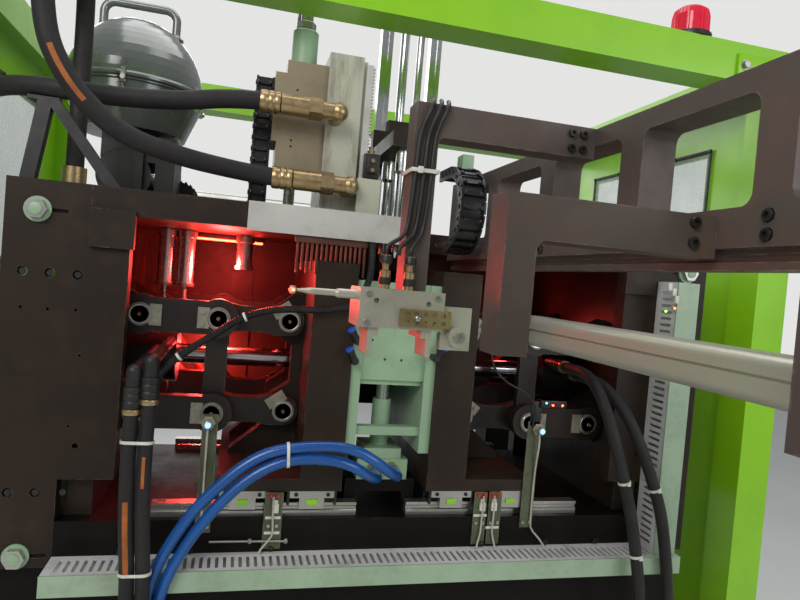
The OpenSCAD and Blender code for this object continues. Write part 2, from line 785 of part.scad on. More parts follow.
module hose_fittings() {
    elbow_b = [-300, 45, 1876];
    pipe_end = 262;
    grip_r = lower_hose_r + 0.9;
    last_a = upper_a[len(upper_a) - 1];
    last_b = upper_b[len(upper_b) - 1];
    color(brass) {
        translate(elbow_b) elbow_set(column_y[0] - elbow_b[1]);
        translate([-262, 40, 1712]) elbow_set(column_y[0] - 40);
        for (p = [air_a, air_b])
            rod_y(p[0][0], p[0][1] + 0.3, 39.7, p[0][2], air_hose_r + 1);
        // Elbows and pipes from the left hoses to the closing cylinder's head
        for (p = [[left_a[0], 1290], [left_b[0], 1310]]) {
            rod_z(p[0][0], p[0][1], p[0][2] + 0.3, p[1], grip_r);
            translate([p[0][0], p[0][1], p[1]]) sphere(grip_r);
            difference() {
                rod_y(p[0][0], p[0][1], pipe_end, p[1], 12);
                mirror([1, 0, 0]) head_room();
            }
        }
        for (p = [right_a[0], right_b[0]]) difference() {
            rod_y(p[0], p[1] + 0.3, pipe_end, p[2], 12);
            head_room();
        }
        // Bulkheads at the hoses' far ends
        rod_x(-panel_x, last_b[0] - 0.3, last_b[1], last_b[2], 27);
        rod_z(last_a[0], last_a[1], top_face, last_a[2] - 0.3, 27);
    }
}

// Bent strips and plates that carry the sensors, on the table's front edge
module sensor_brackets() {
    off = 2;
    sheet = 3;
    strips = [[-398, 32, 1186], [362, 32, 1190]];
    plates = [[-250, 40, 1016], [239, 32, 1016], [277, 32, 1016]];
    low = 70;
    color([0.6, 0.66, 0.5]) {
        for (s = strips) {
            span(s[0] - s[1] / 2, s[0] + s[1] / 2, -off - sheet, -off, table_z - 26, s[2]);
            span(s[0] - s[1] / 2, s[0] + s[1] / 2, -off, 0, table_z - 26, table_z - 4);
        }
        for (s = plates) {
            span(s[0] - s[1] / 2, s[0] + s[1] / 2, -off - sheet, -off, table_z - 65, s[2]);
            span(s[0] - s[1] / 2, s[0] + s[1] / 2, -off, 0, table_z - 65, table_z - 4);
        }
    }
}

// The beam with its windows, and the rail under it
window_z0 = beam_z + 47;
window_h = 129;
first_window = -1075;
module transfer_beam() {
    color(mauve) {
        difference() {
            plate_yz(beam_x, beam_x + beam_t) difference() {
                translate([-beam_front, beam_z]) square([beam_front + beam_back, beam_h]);
                for (i = [0 : 4]) translate([first_window + i * window_pitch, window_z0])
                    round_rect(window_l, window_h, 16);
            }
            for (y = [-838, -575, -312], z = [beam_z + 13, beam_z + 34])
                rod_x(beam_x - 1, beam_x + 8, y, z, 8);
        }
        difference() {
            span(beam_rail_x, beam_rail_x + beam_rail_w, -beam_front, beam_back,
                beam_z - beam_rail_h, beam_z);
            for (s = [0, 1]) rod_y(beam_rail_x + s * beam_rail_w, -beam_front - 1,
                beam_back + 1, beam_z - beam_rail_h * 0.45, 4);
        }
    }
}

// An L-shaped arm from the beam to a hanging leg, with a round inner corner
module arm(leg_x, y0, y1, top, arm_h, foot) {
    r = 12;
    inner_x = leg_x + arm_w;
    inner_z = top - arm_h;
    plate_xz(y0, y1) {
        translate([leg_x, inner_z]) square([beam_x - leg_x, arm_h]);
        translate([leg_x, foot]) square([arm_w, top - foot]);
        difference() {
            translate([inner_x, inner_z - r]) square([r, r]);
            translate([inner_x + r, inner_z - r]) circle(r);
        }
    }
}

leg_a_x = -121;
leg_b_x = -86;
leg_a_foot = 1490;
leg_b_foot = 1430;
module arm_brackets() {
    color(mauve) {
        arm(leg_a_x, -472, -428, beam_top, 50, leg_a_foot);
        arm(leg_b_x, -764, -717, beam_z + 38, 50, leg_b_foot);
        arm(leg_b_x, -1180, -1140, beam_z + 48, 50, leg_b_foot);
    }
}

module tray_profile() {
    x0 = leg_b_x + arm_w;
    w = 40;
    h = 32;
    z0 = leg_b_foot + 13;
    color(steel) difference() {
        translate([0, -717, 0]) rotate([90, 0, 0]) linear_extrude(463)
            difference() {
                translate([x0, z0]) round_rect(w, h, 7);
                translate([x0 - 1, z0 + 17]) square([3, 2]);
                translate([x0 + w - 2, z0 + 17]) square([3, 2]);
            }
    }
}

// Gripper under the first arm
grip_z = [1432, leg_a_foot];
grip_x = [-190, -60];
module gripper_body() {
    color(steel) {
        difference() {
            span(grip_x[0], grip_x[1], grip_y - 50, grip_y + 30, grip_z[0], grip_z[1]);
            for (x = [-165, -85]) rod_y(x, grip_y - 51, grip_y - 40, grip_z[0] + 40, 4);
        }
        // Side plate with its cap screw
        span(grip_x[1], -12, grip_y - 40, grip_y - 26, 1404, 1470);
        rod_y(-38, grip_y - 62, grip_y - 39, 1426, 15);
        // Pointed air nozzle
        translate([grip_x[0], grip_y - 30, 1478]) rotate([0, -90, 0])
            rotate_extrude() polygon([[0, 0], [7, 0], [7, 30], [5, 34], [5, 70], [1, 95], [0, 95]]);
    }
}

module finger() {
    span(-8, 8, grip_y - 45, grip_y + 25, grip_z[0] - 12.3, grip_z[0] - 0.3);
    span(-8, 0, grip_y - 45, grip_y + 10, grip_z[0] - 40, grip_z[0] - 12);
}

module gripper_finger_left() {
    color(steel) translate([-166, 0, 0]) finger();
}

module gripper_finger_right() {
    color(steel) translate([-84, 0, 0]) mirror([1, 0, 0]) finger();
}

// Brass flow valves and the brass hole plate in front of the gripper
module flow_valves() {
    color(brass) {
        for (x = [-153, -116]) translate([x, grip_y - 39, grip_z[1]])
            rotate_extrude() polygon([[0, 0], [8, 0], [8, 26], [5, 28], [5, 36],
                [8, 38], [8, 50], [0, 50]]);
        difference() {
            span(-130, -50, grip_y - 56, grip_y - 50, 1437, 1463);
            for (x = [-118, -104, -90, -76, -62], z = [1444, 1456])
                rod_y(x, grip_y - 57, grip_y - 49, z, 3.5);
        }
    }
}

// Column in front of the machine that carries the beam's carriages
module transfer_stand() {
    x_mid = beam_x + beam_t / 2;
    head_z = 1456;
    color(green) {
        span(x_mid - 140, x_mid + 140, -1260, -940, 0, 30);
        span(x_mid - 75, x_mid + 75, -1175, -1025, 30, head_z);
        span(x_mid - 45, x_mid + 45, -941, end_plate_t, 60, 140);
        span(x_mid - 45, x_mid + 45, -1030, -900, 29, 140);
        span(x_mid - 70, x_mid + 70, -1250, -950, head_z, head_z + 30);
    }
    color(steel) for (y = [-1245, -1055]) difference() {
        span(beam_x + 1, beam_x + beam_t - 1, y, y + 100, head_z + 30, beam_z - 6);
        span(beam_rail_x - slide_fit, beam_rail_x + beam_rail_w + slide_fit, y - 1, y + 101,
            beam_z - beam_rail_h - slide_fit, beam_z);
    }
}

// Shared sizes of the cable chains
chain_pitch = 26;
chain_half = 13;
chain_wall = 5;

// The beam's cable chain: a half turn with straight ends, in Y and Z
chain_x = [100, 160];
chain_r = 88;
chain_mid = [24, 1682];
chain_run = 78;
module chain_track(half) {
    translate(chain_mid) {
        difference() {
            circle(chain_r + half);
            circle(chain_r - half);
            translate([0, -2 * chain_r]) square([2 * chain_r, 4 * chain_r]);
        }
        for (s = [-1, 1]) translate([-0.5, s * chain_r - half])
            square([chain_run + 0.5, 2 * half]);
    }
}

module cable_chain_beam() {
    turns = 10;
    x0 = chain_x[0];
    x1 = chain_x[1];
    color(black) {
        for (x = [x0, x1 - chain_wall]) difference() {
            plate_yz(x, x + chain_wall) chain_track(chain_half);
            for (i = [0 : turns]) translate([0, chain_mid[0], chain_mid[1]])
                rotate([90 + 180 * (i + 0.5) / turns, 0, 0]) {
                    span(x - 1, x + chain_wall + 1, chain_r + 5, chain_r + 20, -1.5, 1.5);
                    span(x - 1, x + chain_wall + 1, chain_r - 20, chain_r - 7, -1.5, 1.5);
                }
        }
        for (i = [0 : turns]) translate([0, chain_mid[0], chain_mid[1]])
            rotate([90 + 180 * i / turns, 0, 0]) {
                span(x0 + 2, x1 - 2, chain_r + 8, chain_r + 12, -5, 5);
                span(x0 + 2, x1 - 2, chain_r - 12, chain_r - 8, -5, 5);
            }
        for (s = [-1, 1], i = [1, 2]) translate([0, chain_mid[0] + i * chain_pitch,
                chain_mid[1] + s * chain_r]) {
            span(x0 + 2, x1 - 2, -5, 5, 8, 12);
            span(x0 + 2, x1 - 2, -5, 5, -12, -8);
        }
        plate_yz(x0 + 3, x1 - 3) chain_track(5);
        span(x1 - 3, beam_x, chain_mid[0] + 50, chain_mid[0] + 74,
            chain_mid[1] + chain_r - 10, chain_mid[1] + chain_r + 10);
    }
}

// The upright cable chain beside the manifold
module cable_chain_left() {
    x0 = -356;
    x1 = -314.3;
    y0 = 137;
    links = 12;
    z1 = top_face + links * chain_pitch;
    color(black) {
        for (x = [x0, x1 - chain_wall]) difference() {
            span(x, x + chain_wall, y0, y0 + 2 * chain_half, top_face, z1);
            for (i = [1 : links - 1], y = [y0 - 1, y0 + 2 * chain_half - 7])
                span(x - 1, x + chain_wall + 1, y, y + 8, top_face + i * chain_pitch - 1.5,
                    top_face + i * chain_pitch + 1.5);
        }
        for (i = [0 : links - 1], y = [y0 + 1, y0 + 2 * chain_half - 5])
            span(x0 + 2, x1 - 2, y, y + 4, top_face + (i + 0.5) * chain_pitch - 5,
                top_face + (i + 0.5) * chain_pitch + 5);
        span(x0 + 3, x1 - 3, y0 + chain_half - 5, y0 + chain_half + 5, top_face, z1);
    }
}

// Closing cylinders through the bolsters
module closing_cylinders() {
    color(black) both_sides() difference() {
        union() {
            rod_x(bolster_in - cyl_head, cyl_end, closing_y, closing_z, closing_cyl_r);
            rod_x(bolster_in - cyl_head, bolster_in, closing_y, closing_z, cyl_head_r);
        }
        rod_x(bolster_in - cyl_head - 1, cyl_end - 10, closing_y, closing_z,
            closing_rod_r + run_fit);
    }
}

module closing_rod() {
    rod_x(platen_out, rod_end, closing_y, closing_z, closing_rod_r);
}
module closing_rod_right() { color(steel) closing_rod(); }
module closing_rod_left() { color(steel) mirror([1, 0, 0]) closing_rod(); }

// A platen with its foot and its two ribs, drawn on the right side
module platen() {
    waist_x = platen_out + 24;
    boss_x = platen_pin_x + platen_end_r - 2;
    gusset = 70;
    color(dark) {
        span(platen_in, platen_out, 0, clamp_depth, platen_foot_z, platen_top_z);
        span(platen_out - 1, platen_foot_out, 0, clamp_depth, platen_foot_z,
            platen_foot_z + foot_t);
        both_sets() difference() {
            plate_xz(rib_y, rib_y + rib_t) {
                polygon([[platen_out - 1, platen_foot_z + foot_t - 1],
                    [platen_foot_out - 20, platen_foot_z + foot_t - 1],
                    [platen_foot_out - 20, platen_foot_z + foot_t + 12],
                    [boss_x, row_lo_z - 32], [boss_x, row_lo_z + 32],
                    [waist_x, row_lo_z + gusset - 6], [waist_x, row_hi_z - gusset + 6],
                    [boss_x, row_hi_z - 32], [boss_x, row_hi_z + 32],
                    [waist_x, row_hi_z + gusset], [platen_out - 1, row_hi_z + gusset]]);
                for (z = row_list) translate([platen_pin_x, z]) circle(platen_end_r + 1);
            }
            for (z = row_list)
                rod_y(platen_pin_x, rib_y - 1, rib_y + rib_t + 1, z, pin_r + run_fit);
        }
    }
}
module platen_right() { platen(); }
module platen_left() { mirror([1, 0, 0]) platen(); }

// A square bottle with a sloping shoulder and a round neck
module bottle() {
    intersection() {
        plate_xz(-cavity_r, cavity_r) bottle_outline();
        plate_yz(-cavity_r, cavity_r) bottle_outline();
    }
    rod_z(0, 0, neck_z - 5, mould_z + mould_h + 1, neck_r);
}
module bottle_outline() {
    polygon([[-cavity_r, cavity_z], [cavity_r, cavity_z], [cavity_r, shoulder_z],
        [neck_r, neck_z], [-neck_r, neck_z], [-cavity_r, shoulder_z]]);
}

// A mould half, its back plate and its cross bar, drawn on the right side
module mould() {
    gap = parting / 2;
    lip = 12;
    color(pale_green) {
        difference() {
            union() {
                span(gap, mould_t, mould_y, mould_y + mould_d, mould_z + lip, mould_z + mould_h);
                span(gap, mould_t - 2, mould_y + 9, mould_y + mould_d - 9, mould_z,
                    mould_z + lip + 1);
            }
            for (y = cavity_y) translate([0, y, 0]) bottle();
            for (p = [[mould_t - 23, mould_z + 104], [20, mould_z + 60]])
                rod_y(p[0], mould_y - 1, mould_y + 14, p[1], 3);
        }
        span(mould_t, platen_in, mould_y - 10, mould_y + mould_d + 10, foot_top_z + 62,
            mould_z + mould_h);
        span(gap, mould_t, mould_y, mould_y + 25, row_lo_z - 22, row_lo_z - 2);
    }
}
module mould_right() { mould(); }
module mould_left() { mirror([1, 0, 0]) mould(); }

// The four linear carriages under a platen, drawn on the right side
module slide_carriages() {
    low = table_z + rail_h * 0.7;
    neck = 56;
    flange = 16;
    top = table_z + carriage_h;
    color(pale) for (x = carriage_x, y = rail_y) difference() {
        union() {
            span(x - carriage_l / 2, x + carriage_l / 2, y - carriage_w / 2, y + carriage_w / 2,
                top - flange, top);
            span(x - neck / 2, x + neck / 2, y - carriage_w / 2, y + carriage_w / 2,
                low, top - flange + 1);
        }
        span(x - carriage_l, x + carriage_l, y - rail_w / 2 - slide_fit, y + rail_w / 2 + slide_fit,
            low - 1, table_z + rail_h + slide_fit);
    }
}
module slide_carriages_right() { slide_carriages(); }
module slide_carriages_left() { mirror([1, 0, 0]) slide_carriages(); }

// A keeper plate with two screws, beside a cap, pointing along +X
module keeper(x, y, z, turn) {
    translate([x, y, z]) rotate([0, turn, 0]) {
        span(cap_r - 6, cap_r + 20, -5, 0, -24, 24);
        for (s = [-1, 1]) rod_y(cap_r + 10, -9, -5, s * 14, 6);
    }
}

// Outer links of one row with their shaft and elbow studs, right side
module outer_link(z) {
    cap_y = link_y - cap_t;
    stud_end = tie_y + tie_t;
    color(dark) both_sets() difference() {
        plate_xz(link_y, link_y + outer_t) {
            translate([outer_pin_x, z]) circle(outer_end_r);
            translate([elbow_x, z]) circle(outer_end_r);
            translate([elbow_x, z - 38]) square([outer_pin_x - elbow_x, 76]);
        }
        for (x = [outer_pin_x, elbow_x])
            rod_y(x, link_y - 1, link_y + outer_t + 1, z, pin_r + run_fit);
    }
    color(steel) {
        rod_y(outer_pin_x, link_y, clamp_depth - link_y, z, pin_r);
        both_sets() {
            rod_y(outer_pin_x, cap_y, link_y, z, cap_r);
            rod_y(elbow_x, cap_y, link_y, z, cap_r);
            rod_y(elbow_x, link_y, stud_end, z, pin_r);
            keeper(outer_pin_x, link_y, z, 180);
            keeper(elbow_x, link_y, z, 0);
        }
    }
}
module outer_link_right_upper() { outer_link(row_hi_z); }
module outer_link_right_lower() { outer_link(row_lo_z); }
module outer_link_left_upper() { mirror([1, 0, 0]) outer_link(row_hi_z); }
module outer_link_left_lower() { mirror([1, 0, 0]) outer_link(row_lo_z); }

// Inner links of one row with their shaft, right side
module inner_link(z) {
    cap_y = inner_y - cap_t;
    neck = 30;
    color(dark) both_sets() difference() {
        plate_xz(inner_y, inner_y + inner_t) {
            translate([platen_pin_x, z]) circle(platen_end_r);
            translate([elbow_x, z]) circle(elbow_end_r);
            polygon([[platen_pin_x + 4, z - platen_end_r], [platen_pin_x + 34, z - 36],
                [platen_pin_x + 62, z - neck], [elbow_x - 50, z - neck],
                [elbow_x - 12, z - elbow_end_r + 2], [elbow_x - 12, z + elbow_end_r - 2],
                [elbow_x - 50, z + neck], [platen_pin_x + 62, z + neck],
                [platen_pin_x + 34, z + 36], [platen_pin_x + 4, z + platen_end_r]]);
        }
        rod_y(platen_pin_x, inner_y - 1, inner_y + inner_t + 1, z, pin_r + run_fit);
    }
    color(steel) {
        rod_y(platen_pin_x, inner_y, clamp_depth - inner_y, z, pin_r);
        both_sets() {
            rod_y(platen_pin_x, cap_y, inner_y, z, cap_r);
            keeper(platen_pin_x, inner_y, z, -55);
        }
    }
}
module inner_link_right_upper() { inner_link(row_hi_z); }
module inner_link_right_lower() { inner_link(row_lo_z); }
module inner_link_left_upper() { mirror([1, 0, 0]) inner_link(row_hi_z); }
module inner_link_left_lower() { mirror([1, 0, 0]) inner_link(row_lo_z); }

// Tie plates between the elbows of a side, right side
module tie() {
    color(dark) both_sets() difference() {
        plate_xz(tie_y, tie_y + tie_t) {
            translate([elbow_x - tie_end_r, row_lo_z])
                square([2 * tie_end_r, row_hi_z - row_lo_z]);
            for (z = row_list) translate([elbow_x, z]) circle(tie_end_r);
        }
        for (z = row_list)
            rod_y(elbow_x, tie_y - 1, tie_y + tie_t + 1, z, pin_r + run_fit);
    }
}
module tie_right() { tie(); }
module tie_left() { mirror([1, 0, 0]) tie(); }

base_frame();
leveling_feet();
end_frame_left();
end_frame_right();
top_plate();
front_strip();
frame_bolts();
slide_rails();
cable_duct_lower();
cable_duct_side();
guard_frame();
guard_panels();
guard_windows();
beacon();
pin_cylinder();
bottom_pin();
blow_column();
valve_manifold();
guide_columns();
blow_carriage();
blow_pins();
hopper();
hopper_lid();
extruder_barrel();
extruder_drive();
die_head();
hydraulic_hoses();
air_hoses();
hose_fittings();
sensor_brackets();
transfer_beam();
arm_brackets();
tray_profile();
gripper_body();
gripper_finger_left();
gripper_finger_right();
flow_valves();
transfer_stand();
cable_chain_beam();
cable_chain_left();
closing_cylinders();
closing_rod_left();
closing_rod_right();
platen_left();
platen_right();
mould_left();
mould_right();
slide_carriages_left();
slide_carriages_right();
outer_link_left_upper();
outer_link_left_lower();
outer_link_right_upper();
outer_link_right_lower();
inner_link_left_upper();
inner_link_left_lower();
inner_link_right_upper();
inner_link_right_lower();
tie_left();
tie_right();
rear_cover();
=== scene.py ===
import json
import math

import bmesh
import bpy
from mathutils import Matrix, Vector


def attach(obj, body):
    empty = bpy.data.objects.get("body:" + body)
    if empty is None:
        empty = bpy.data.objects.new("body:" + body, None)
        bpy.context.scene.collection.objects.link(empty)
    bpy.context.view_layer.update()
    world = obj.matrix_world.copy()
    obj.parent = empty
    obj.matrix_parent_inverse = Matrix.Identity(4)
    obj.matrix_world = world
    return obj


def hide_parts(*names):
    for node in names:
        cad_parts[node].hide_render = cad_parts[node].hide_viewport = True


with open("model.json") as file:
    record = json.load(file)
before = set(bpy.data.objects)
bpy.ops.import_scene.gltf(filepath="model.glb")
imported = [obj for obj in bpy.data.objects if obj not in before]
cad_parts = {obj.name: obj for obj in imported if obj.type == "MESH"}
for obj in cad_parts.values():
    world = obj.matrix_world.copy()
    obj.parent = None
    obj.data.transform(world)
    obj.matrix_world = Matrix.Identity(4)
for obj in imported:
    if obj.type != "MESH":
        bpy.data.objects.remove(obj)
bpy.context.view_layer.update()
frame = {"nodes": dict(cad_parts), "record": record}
nodes = frame["nodes"]

# Camera, as solved from the photograph's level and depth edges
eye = Vector((-0.362, -1.4, 1.5))
right = Vector((0.963, -0.246, 0.0835)).normalized()
forward = Vector((0.259, 0.968, -0.026))
forward = (forward - right * forward.dot(right)).normalized()
up = right.cross(forward).normalized()
cam_data = bpy.data.cameras.new("view")
cam_data.sensor_width = 36
cam_data.lens = 28.35
cam_data.clip_end = 60
camera = bpy.data.objects.new("view", cam_data)
camera.matrix_world = Matrix((
    (right.x, up.x, -forward.x, eye.x),
    (right.y, up.y, -forward.y, eye.y),
    (right.z, up.z, -forward.z, eye.z),
    (0, 0, 0, 1)))
bpy.context.collection.objects.link(camera)
bpy.context.scene.camera = camera

# Places and sizes of the part that the details below meet, in mm, and the ways that they point
outer_pin_x, elbow_x, inner_pin_x = 569, 400, 234
upper_row_z, lower_row_z = 1384, 1165
clamp_depth = 600
outer_cap_y, inner_cap_y = 92, 144
top_plate_under = 1590.6
rear_cover_front = 605.8
side_duct_front = -78
bracket_front = -5
hose_r, lower_hose_r, air_hose_r = 20, 14, 11.5
band = 1.2  # thickness of the ties
beacon_x, beacon_y, guard_top_z = 757, 78, 2212
to_top, to_front, to_right, to_left = (0, 0, 1), (0, -1, 0), (1, 0, 0), (-1, 0, 0)


# Materials
def lin(rgb):
    """A colour of 0 to 255 as the linear colour that a shader takes."""
    def one(c):
        c /= 255
        return c / 12.92 if c <= 0.04045 else ((c + 0.055) / 1.055) ** 2.4
    return (*map(one, rgb), 1)


def surface(name, colour, second, grime=None, scale=3.0, fine=60.0, rough=0.45, rough_to=None, metal=0.0,
            bump=0.15, wear=None, worn=0.5, stretch=(1, 1, 1), grimy=0.4, coat=0.0,
            alpha=1.0, glow=None, glow_power=0.0, sheen=0.0, spec=0.5):
    """A coat of two mottled colours, with grime in patches and wear on its edges.

    grimy and worn say how much of them there is.
    """
    m = bpy.data.materials.new(name)
    m.use_nodes = True
    nt = m.node_tree
    nt.nodes.clear()
    new = nt.nodes.new
    link = nt.links.new
    out = new("ShaderNodeOutputMaterial")
    bsdf = new("ShaderNodeBsdfPrincipled")
    link(bsdf.outputs[0], out.inputs[0])
    tex = new("ShaderNodeTexCoord")
    mapping = new("ShaderNodeMapping")
    mapping.inputs["Scale"].default_value = stretch
    link(tex.outputs["Object"], mapping.inputs[0])

    def noise(s, detail, rough_n=0.6):
        n = new("ShaderNodeTexNoise")
        n.inputs["Scale"].default_value = s
        n.inputs["Detail"].default_value = detail
        n.inputs["Roughness"].default_value = rough_n
        link(mapping.outputs[0], n.inputs["Vector"])
        return n.outputs["Fac"]

    def ramp(value, lo, hi, to_lo=0.0, to_hi=1.0):
        r = new("ShaderNodeMapRange")
        for key, v in (("From Min", lo), ("From Max", hi), ("To Min", to_lo), ("To Max", to_hi)):
            r.inputs[key].default_value = v
        link(value, r.inputs["Value"])
        return r.outputs[0]

    def feed(socket, value):
        if isinstance(value, bpy.types.NodeSocket):
            link(value, socket)
        else:
            socket.default_value = value

    def mix(fac, a, b):
        x = new("ShaderNodeMix")
        x.data_type = "RGBA"
        for k, value in ((0, fac), (6, a), (7, b)):
            feed(x.inputs[k], value)
        return x.outputs[2]

    def math_node(op, a, b):
        x = new("ShaderNodeMath")
        x.operation = op
        x.use_clamp = True
        for k, value in enumerate((a, b)):
            feed(x.inputs[k], value)
        return x.outputs[0]

    broad = noise(scale, 5)
    small = noise(fine, 4)
    col = mix(ramp(broad, 0.35, 0.68), lin(colour), lin(second))
    if grime:
        dirt = math_node("MULTIPLY", ramp(noise(scale * 2.7, 8, 0.7), 0.5, 0.72), grimy)
        col = mix(dirt, col, lin(grime))
    if rough_to is None:
        rough_to = min(1, rough + 0.18)
    roughness = ramp(noise(scale * 4, 6, 0.7), 0.35, 0.7, rough, rough_to)
    if wear:
        bevel = new("ShaderNodeBevel")
        bevel.samples = 4
        bevel.inputs["Radius"].default_value = 0.003
        geo = new("ShaderNodeNewGeometry")
        dot = new("ShaderNodeVectorMath")
        dot.operation = "DOT_PRODUCT"
        link(bevel.outputs[0], dot.inputs[0])
        link(geo.outputs["Normal"], dot.inputs[1])
        edges = ramp(dot.outputs["Value"], 0.985, 0.86)
        rub = math_node("MULTIPLY", edges, ramp(noise(38, 6, 0.7), 0.62 - worn * 0.4, 0.7))
        chips = math_node("MULTIPLY", ramp(noise(5, 9, 0.75), 0.69, 0.73), worn * 0.5)
        rub = math_node("ADD", rub, chips)
        col = mix(rub, col, lin(wear))
    link(col, bsdf.inputs["Base Color"])
    link(roughness, bsdf.inputs["Roughness"])
    bsdf.inputs["Metallic"].default_value = metal
    bsdf.inputs["Specular IOR Level"].default_value = spec
    if coat:
        bsdf.inputs["Coat Weight"].default_value = coat
        bsdf.inputs["Coat Roughness"].default_value = 0.12
    if sheen:
        bsdf.inputs["Sheen Weight"].default_value = sheen
    if alpha < 1:
        bsdf.inputs["Alpha"].default_value = alpha
    if glow:
        bsdf.inputs["Emission Color"].default_value = lin(glow)
        bsdf.inputs["Emission Strength"].default_value = glow_power
    b = new("ShaderNodeBump")
    b.inputs["Strength"].default_value = bump
    b.inputs["Distance"].default_value = 0.001
    link(small, b.inputs["Height"])
    link(b.outputs[0], bsdf.inputs["Normal"])
    return m


dark = surface("dark_plate", (50, 39, 31), (37, 29, 24), (74, 58, 40), rough=0.36, rough_to=0.55,
               wear=(120, 112, 100), worn=0.35, bump=0.12, fine=140, spec=0.22)
# The apron is a dark plate, darkened further with painted shade for the shadow that falls on it.
apron_shade_m = surface("apron_plate_painted_shade", (20, 16, 13), (15, 12, 10), (40, 32, 24), rough=0.4, rough_to=0.58,
                  wear=(96, 88, 78), worn=0.2, bump=0.12, fine=140, spec=0.15)
# The comb's red-brown colour is a painted red reflection on black slats.
comb_reflection_m = surface("comb_slat", (104, 66, 54), (84, 52, 42), (60, 44, 36), rough=0.4, metal=0.3, bump=0.1,
                 fine=200, scale=20)
link_m = surface("link_iron", (48, 39, 35), (34, 28, 26), (80, 54, 38), rough=0.3, rough_to=0.5, metal=0.25,
                 wear=(140, 128, 116), worn=0.4, fine=160)
beam_m = surface("beam_coat", (94, 83, 78), (78, 69, 65), (112, 88, 72), rough=0.42, rough_to=0.6,
                 metal=0.15, wear=(170, 158, 150), worn=0.3, bump=0.2, fine=220, grimy=0.5, spec=0.3)
green_m = surface("green_coat", (146, 210, 24), (134, 198, 20), (98, 156, 30), scale=1.4, rough=0.28,
                  rough_to=0.4, coat=0.25, bump=0.1, fine=90, grimy=0.3)
pale_green = surface("pale_green_coat", (156, 186, 152), (142, 172, 140), (98, 112, 84), rough=0.34,
                     rough_to=0.5, bump=0.1, wear=(188, 190, 176), worn=0.3, fine=120, grimy=0.35)
worn_green = surface("worn_green_coat", (192, 192, 172), (172, 176, 156), (118, 112, 96), scale=6,
                     stretch=(1.6, 1.6, 0.35), rough=0.36, wear=(196, 194, 184), worn=0.6, fine=90,
                     grimy=0.75)
manifold_m = surface("manifold_coat", (152, 140, 114), (136, 124, 100), (92, 82, 64), rough=0.4,
                     rough_to=0.55, metal=0.3, bump=0.1, wear=(176, 168, 146), worn=0.25, fine=180)
strip_m = surface("strip_coat", (198, 198, 192), (184, 184, 178), (132, 126, 112), rough=0.4, rough_to=0.6,
                  bump=0.1, fine=90, scale=5)
duct_m = surface("duct_plastic", (216, 216, 214), (202, 202, 200), (140, 136, 120), rough=0.42, bump=0.06,
                 fine=110, grimy=0.55, scale=7)
duct_lid = surface("duct_lid_plastic", (164, 186, 160), (150, 174, 146), (128, 132, 110), rough=0.3,
                   bump=0.05, fine=110, grimy=0.45, scale=6)
steel_m = surface("ground_steel", (188, 186, 180), (168, 166, 160), (120, 108, 88), rough=0.22,
                  rough_to=0.42, metal=0.9, bump=0.06, fine=260, grimy=0.35)
chrome_m = surface("chrome_bar", (206, 208, 208), (192, 194, 192), (110, 106, 92), rough=0.12,
                   rough_to=0.26, metal=1.0, bump=0.03, fine=200, grimy=0.2)
cap_m = surface("cap_metal", (172, 168, 150), (154, 150, 134), (118, 104, 78), rough=0.3, rough_to=0.5,
                metal=0.45, bump=0.12, fine=300, grimy=0.5, scale=30)
brass_m = surface("brass", (186, 162, 122), (166, 142, 102), (112, 92, 66), rough=0.24, rough_to=0.42,
                  metal=0.85, bump=0.08, fine=300, scale=20)
hose_m = surface("hose_rubber", (38, 34, 35), (29, 27, 28), (58, 54, 50), rough=0.5, rough_to=0.68,
                 bump=0.5, fine=420, grimy=0.3, scale=9, sheen=0.04, spec=0.35)
stripe_m = surface("hose_stripe", (178, 98, 38), (150, 80, 32), (60, 44, 32), rough=0.55, bump=0.3,
                   fine=400, grimy=0.5, scale=20)
black_m = surface("black_plastic", (30, 29, 29), (22, 21, 22), (62, 58, 54), rough=0.36, rough_to=0.55,
                  fine=260, grimy=0.3, scale=10)
chain_m = surface("chain_plastic", (27, 26, 27), (20, 20, 21), (70, 66, 62), rough=0.26, rough_to=0.45,
                  bump=0.1, fine=200, grimy=0.25, scale=16)
blue_m = surface("blue_tube", (14, 86, 162), (8, 70, 140), (46, 84, 124), rough=0.22, rough_to=0.4,
                 bump=0.08, fine=240, grimy=0.25, scale=10, coat=0.35)
ring_blue = surface("blue_ring", (44, 84, 190), (34, 66, 160), rough=0.3, bump=0.05)
tie_m = surface("tie_nylon", (226, 226, 214), (206, 206, 192), (150, 142, 120), rough=0.35, bump=0.05,
                fine=200, scale=30)
lead_m = surface("lead_jacket", (196, 190, 176), (176, 170, 154), (120, 110, 92), rough=0.3, bump=0.08,
                 fine=300, scale=30)
bracket_m = surface("bracket_sheet", (98, 104, 80), (84, 90, 68), (66, 62, 46), rough=0.32, rough_to=0.5,
                    metal=0.35, bump=0.12, wear=(186, 188, 156), worn=0.4, fine=200, grimy=0.5, scale=14)
alu_m = surface("anodised_bar", (192, 189, 174), (176, 173, 158), (122, 116, 98), rough=0.3, rough_to=0.46,
                metal=0.55, bump=0.08, fine=260, scale=6, wear=(206, 202, 190), worn=0.25,
                stretch=(1, 0.3, 1))
lid_m = surface("vessel_gloss", (116, 121, 117), (100, 105, 101), (150, 148, 138), scale=4, rough=0.14,
                rough_to=0.34, metal=0.2, coat=0.7, bump=0.06, fine=120, grimy=0.45)
foil_m = surface("foil_wrap", (206, 204, 198), (150, 148, 144), (90, 88, 84), scale=40, rough=0.16,
                 rough_to=0.4, metal=0.95, bump=1.0, fine=75, grimy=0.3)
red_m = surface("red_lens", (214, 16, 48), (188, 8, 38), (120, 4, 26), rough=0.14, rough_to=0.3, bump=0.1,
                fine=70, coat=0.5, glow=(230, 20, 60), glow_power=0.25, grimy=0.3, scale=12)
# A red primer with a painted glow: its emission makes the painted parts glow, though they are no lamp.
red_paint_glow = surface("red_primer_painted_glow", (206, 34, 22), (176, 22, 16), (110, 26, 18), rough=0.35, rough_to=0.5,
                    fine=160, glow=(220, 24, 14), glow_power=0.18, grimy=0.5, scale=14)
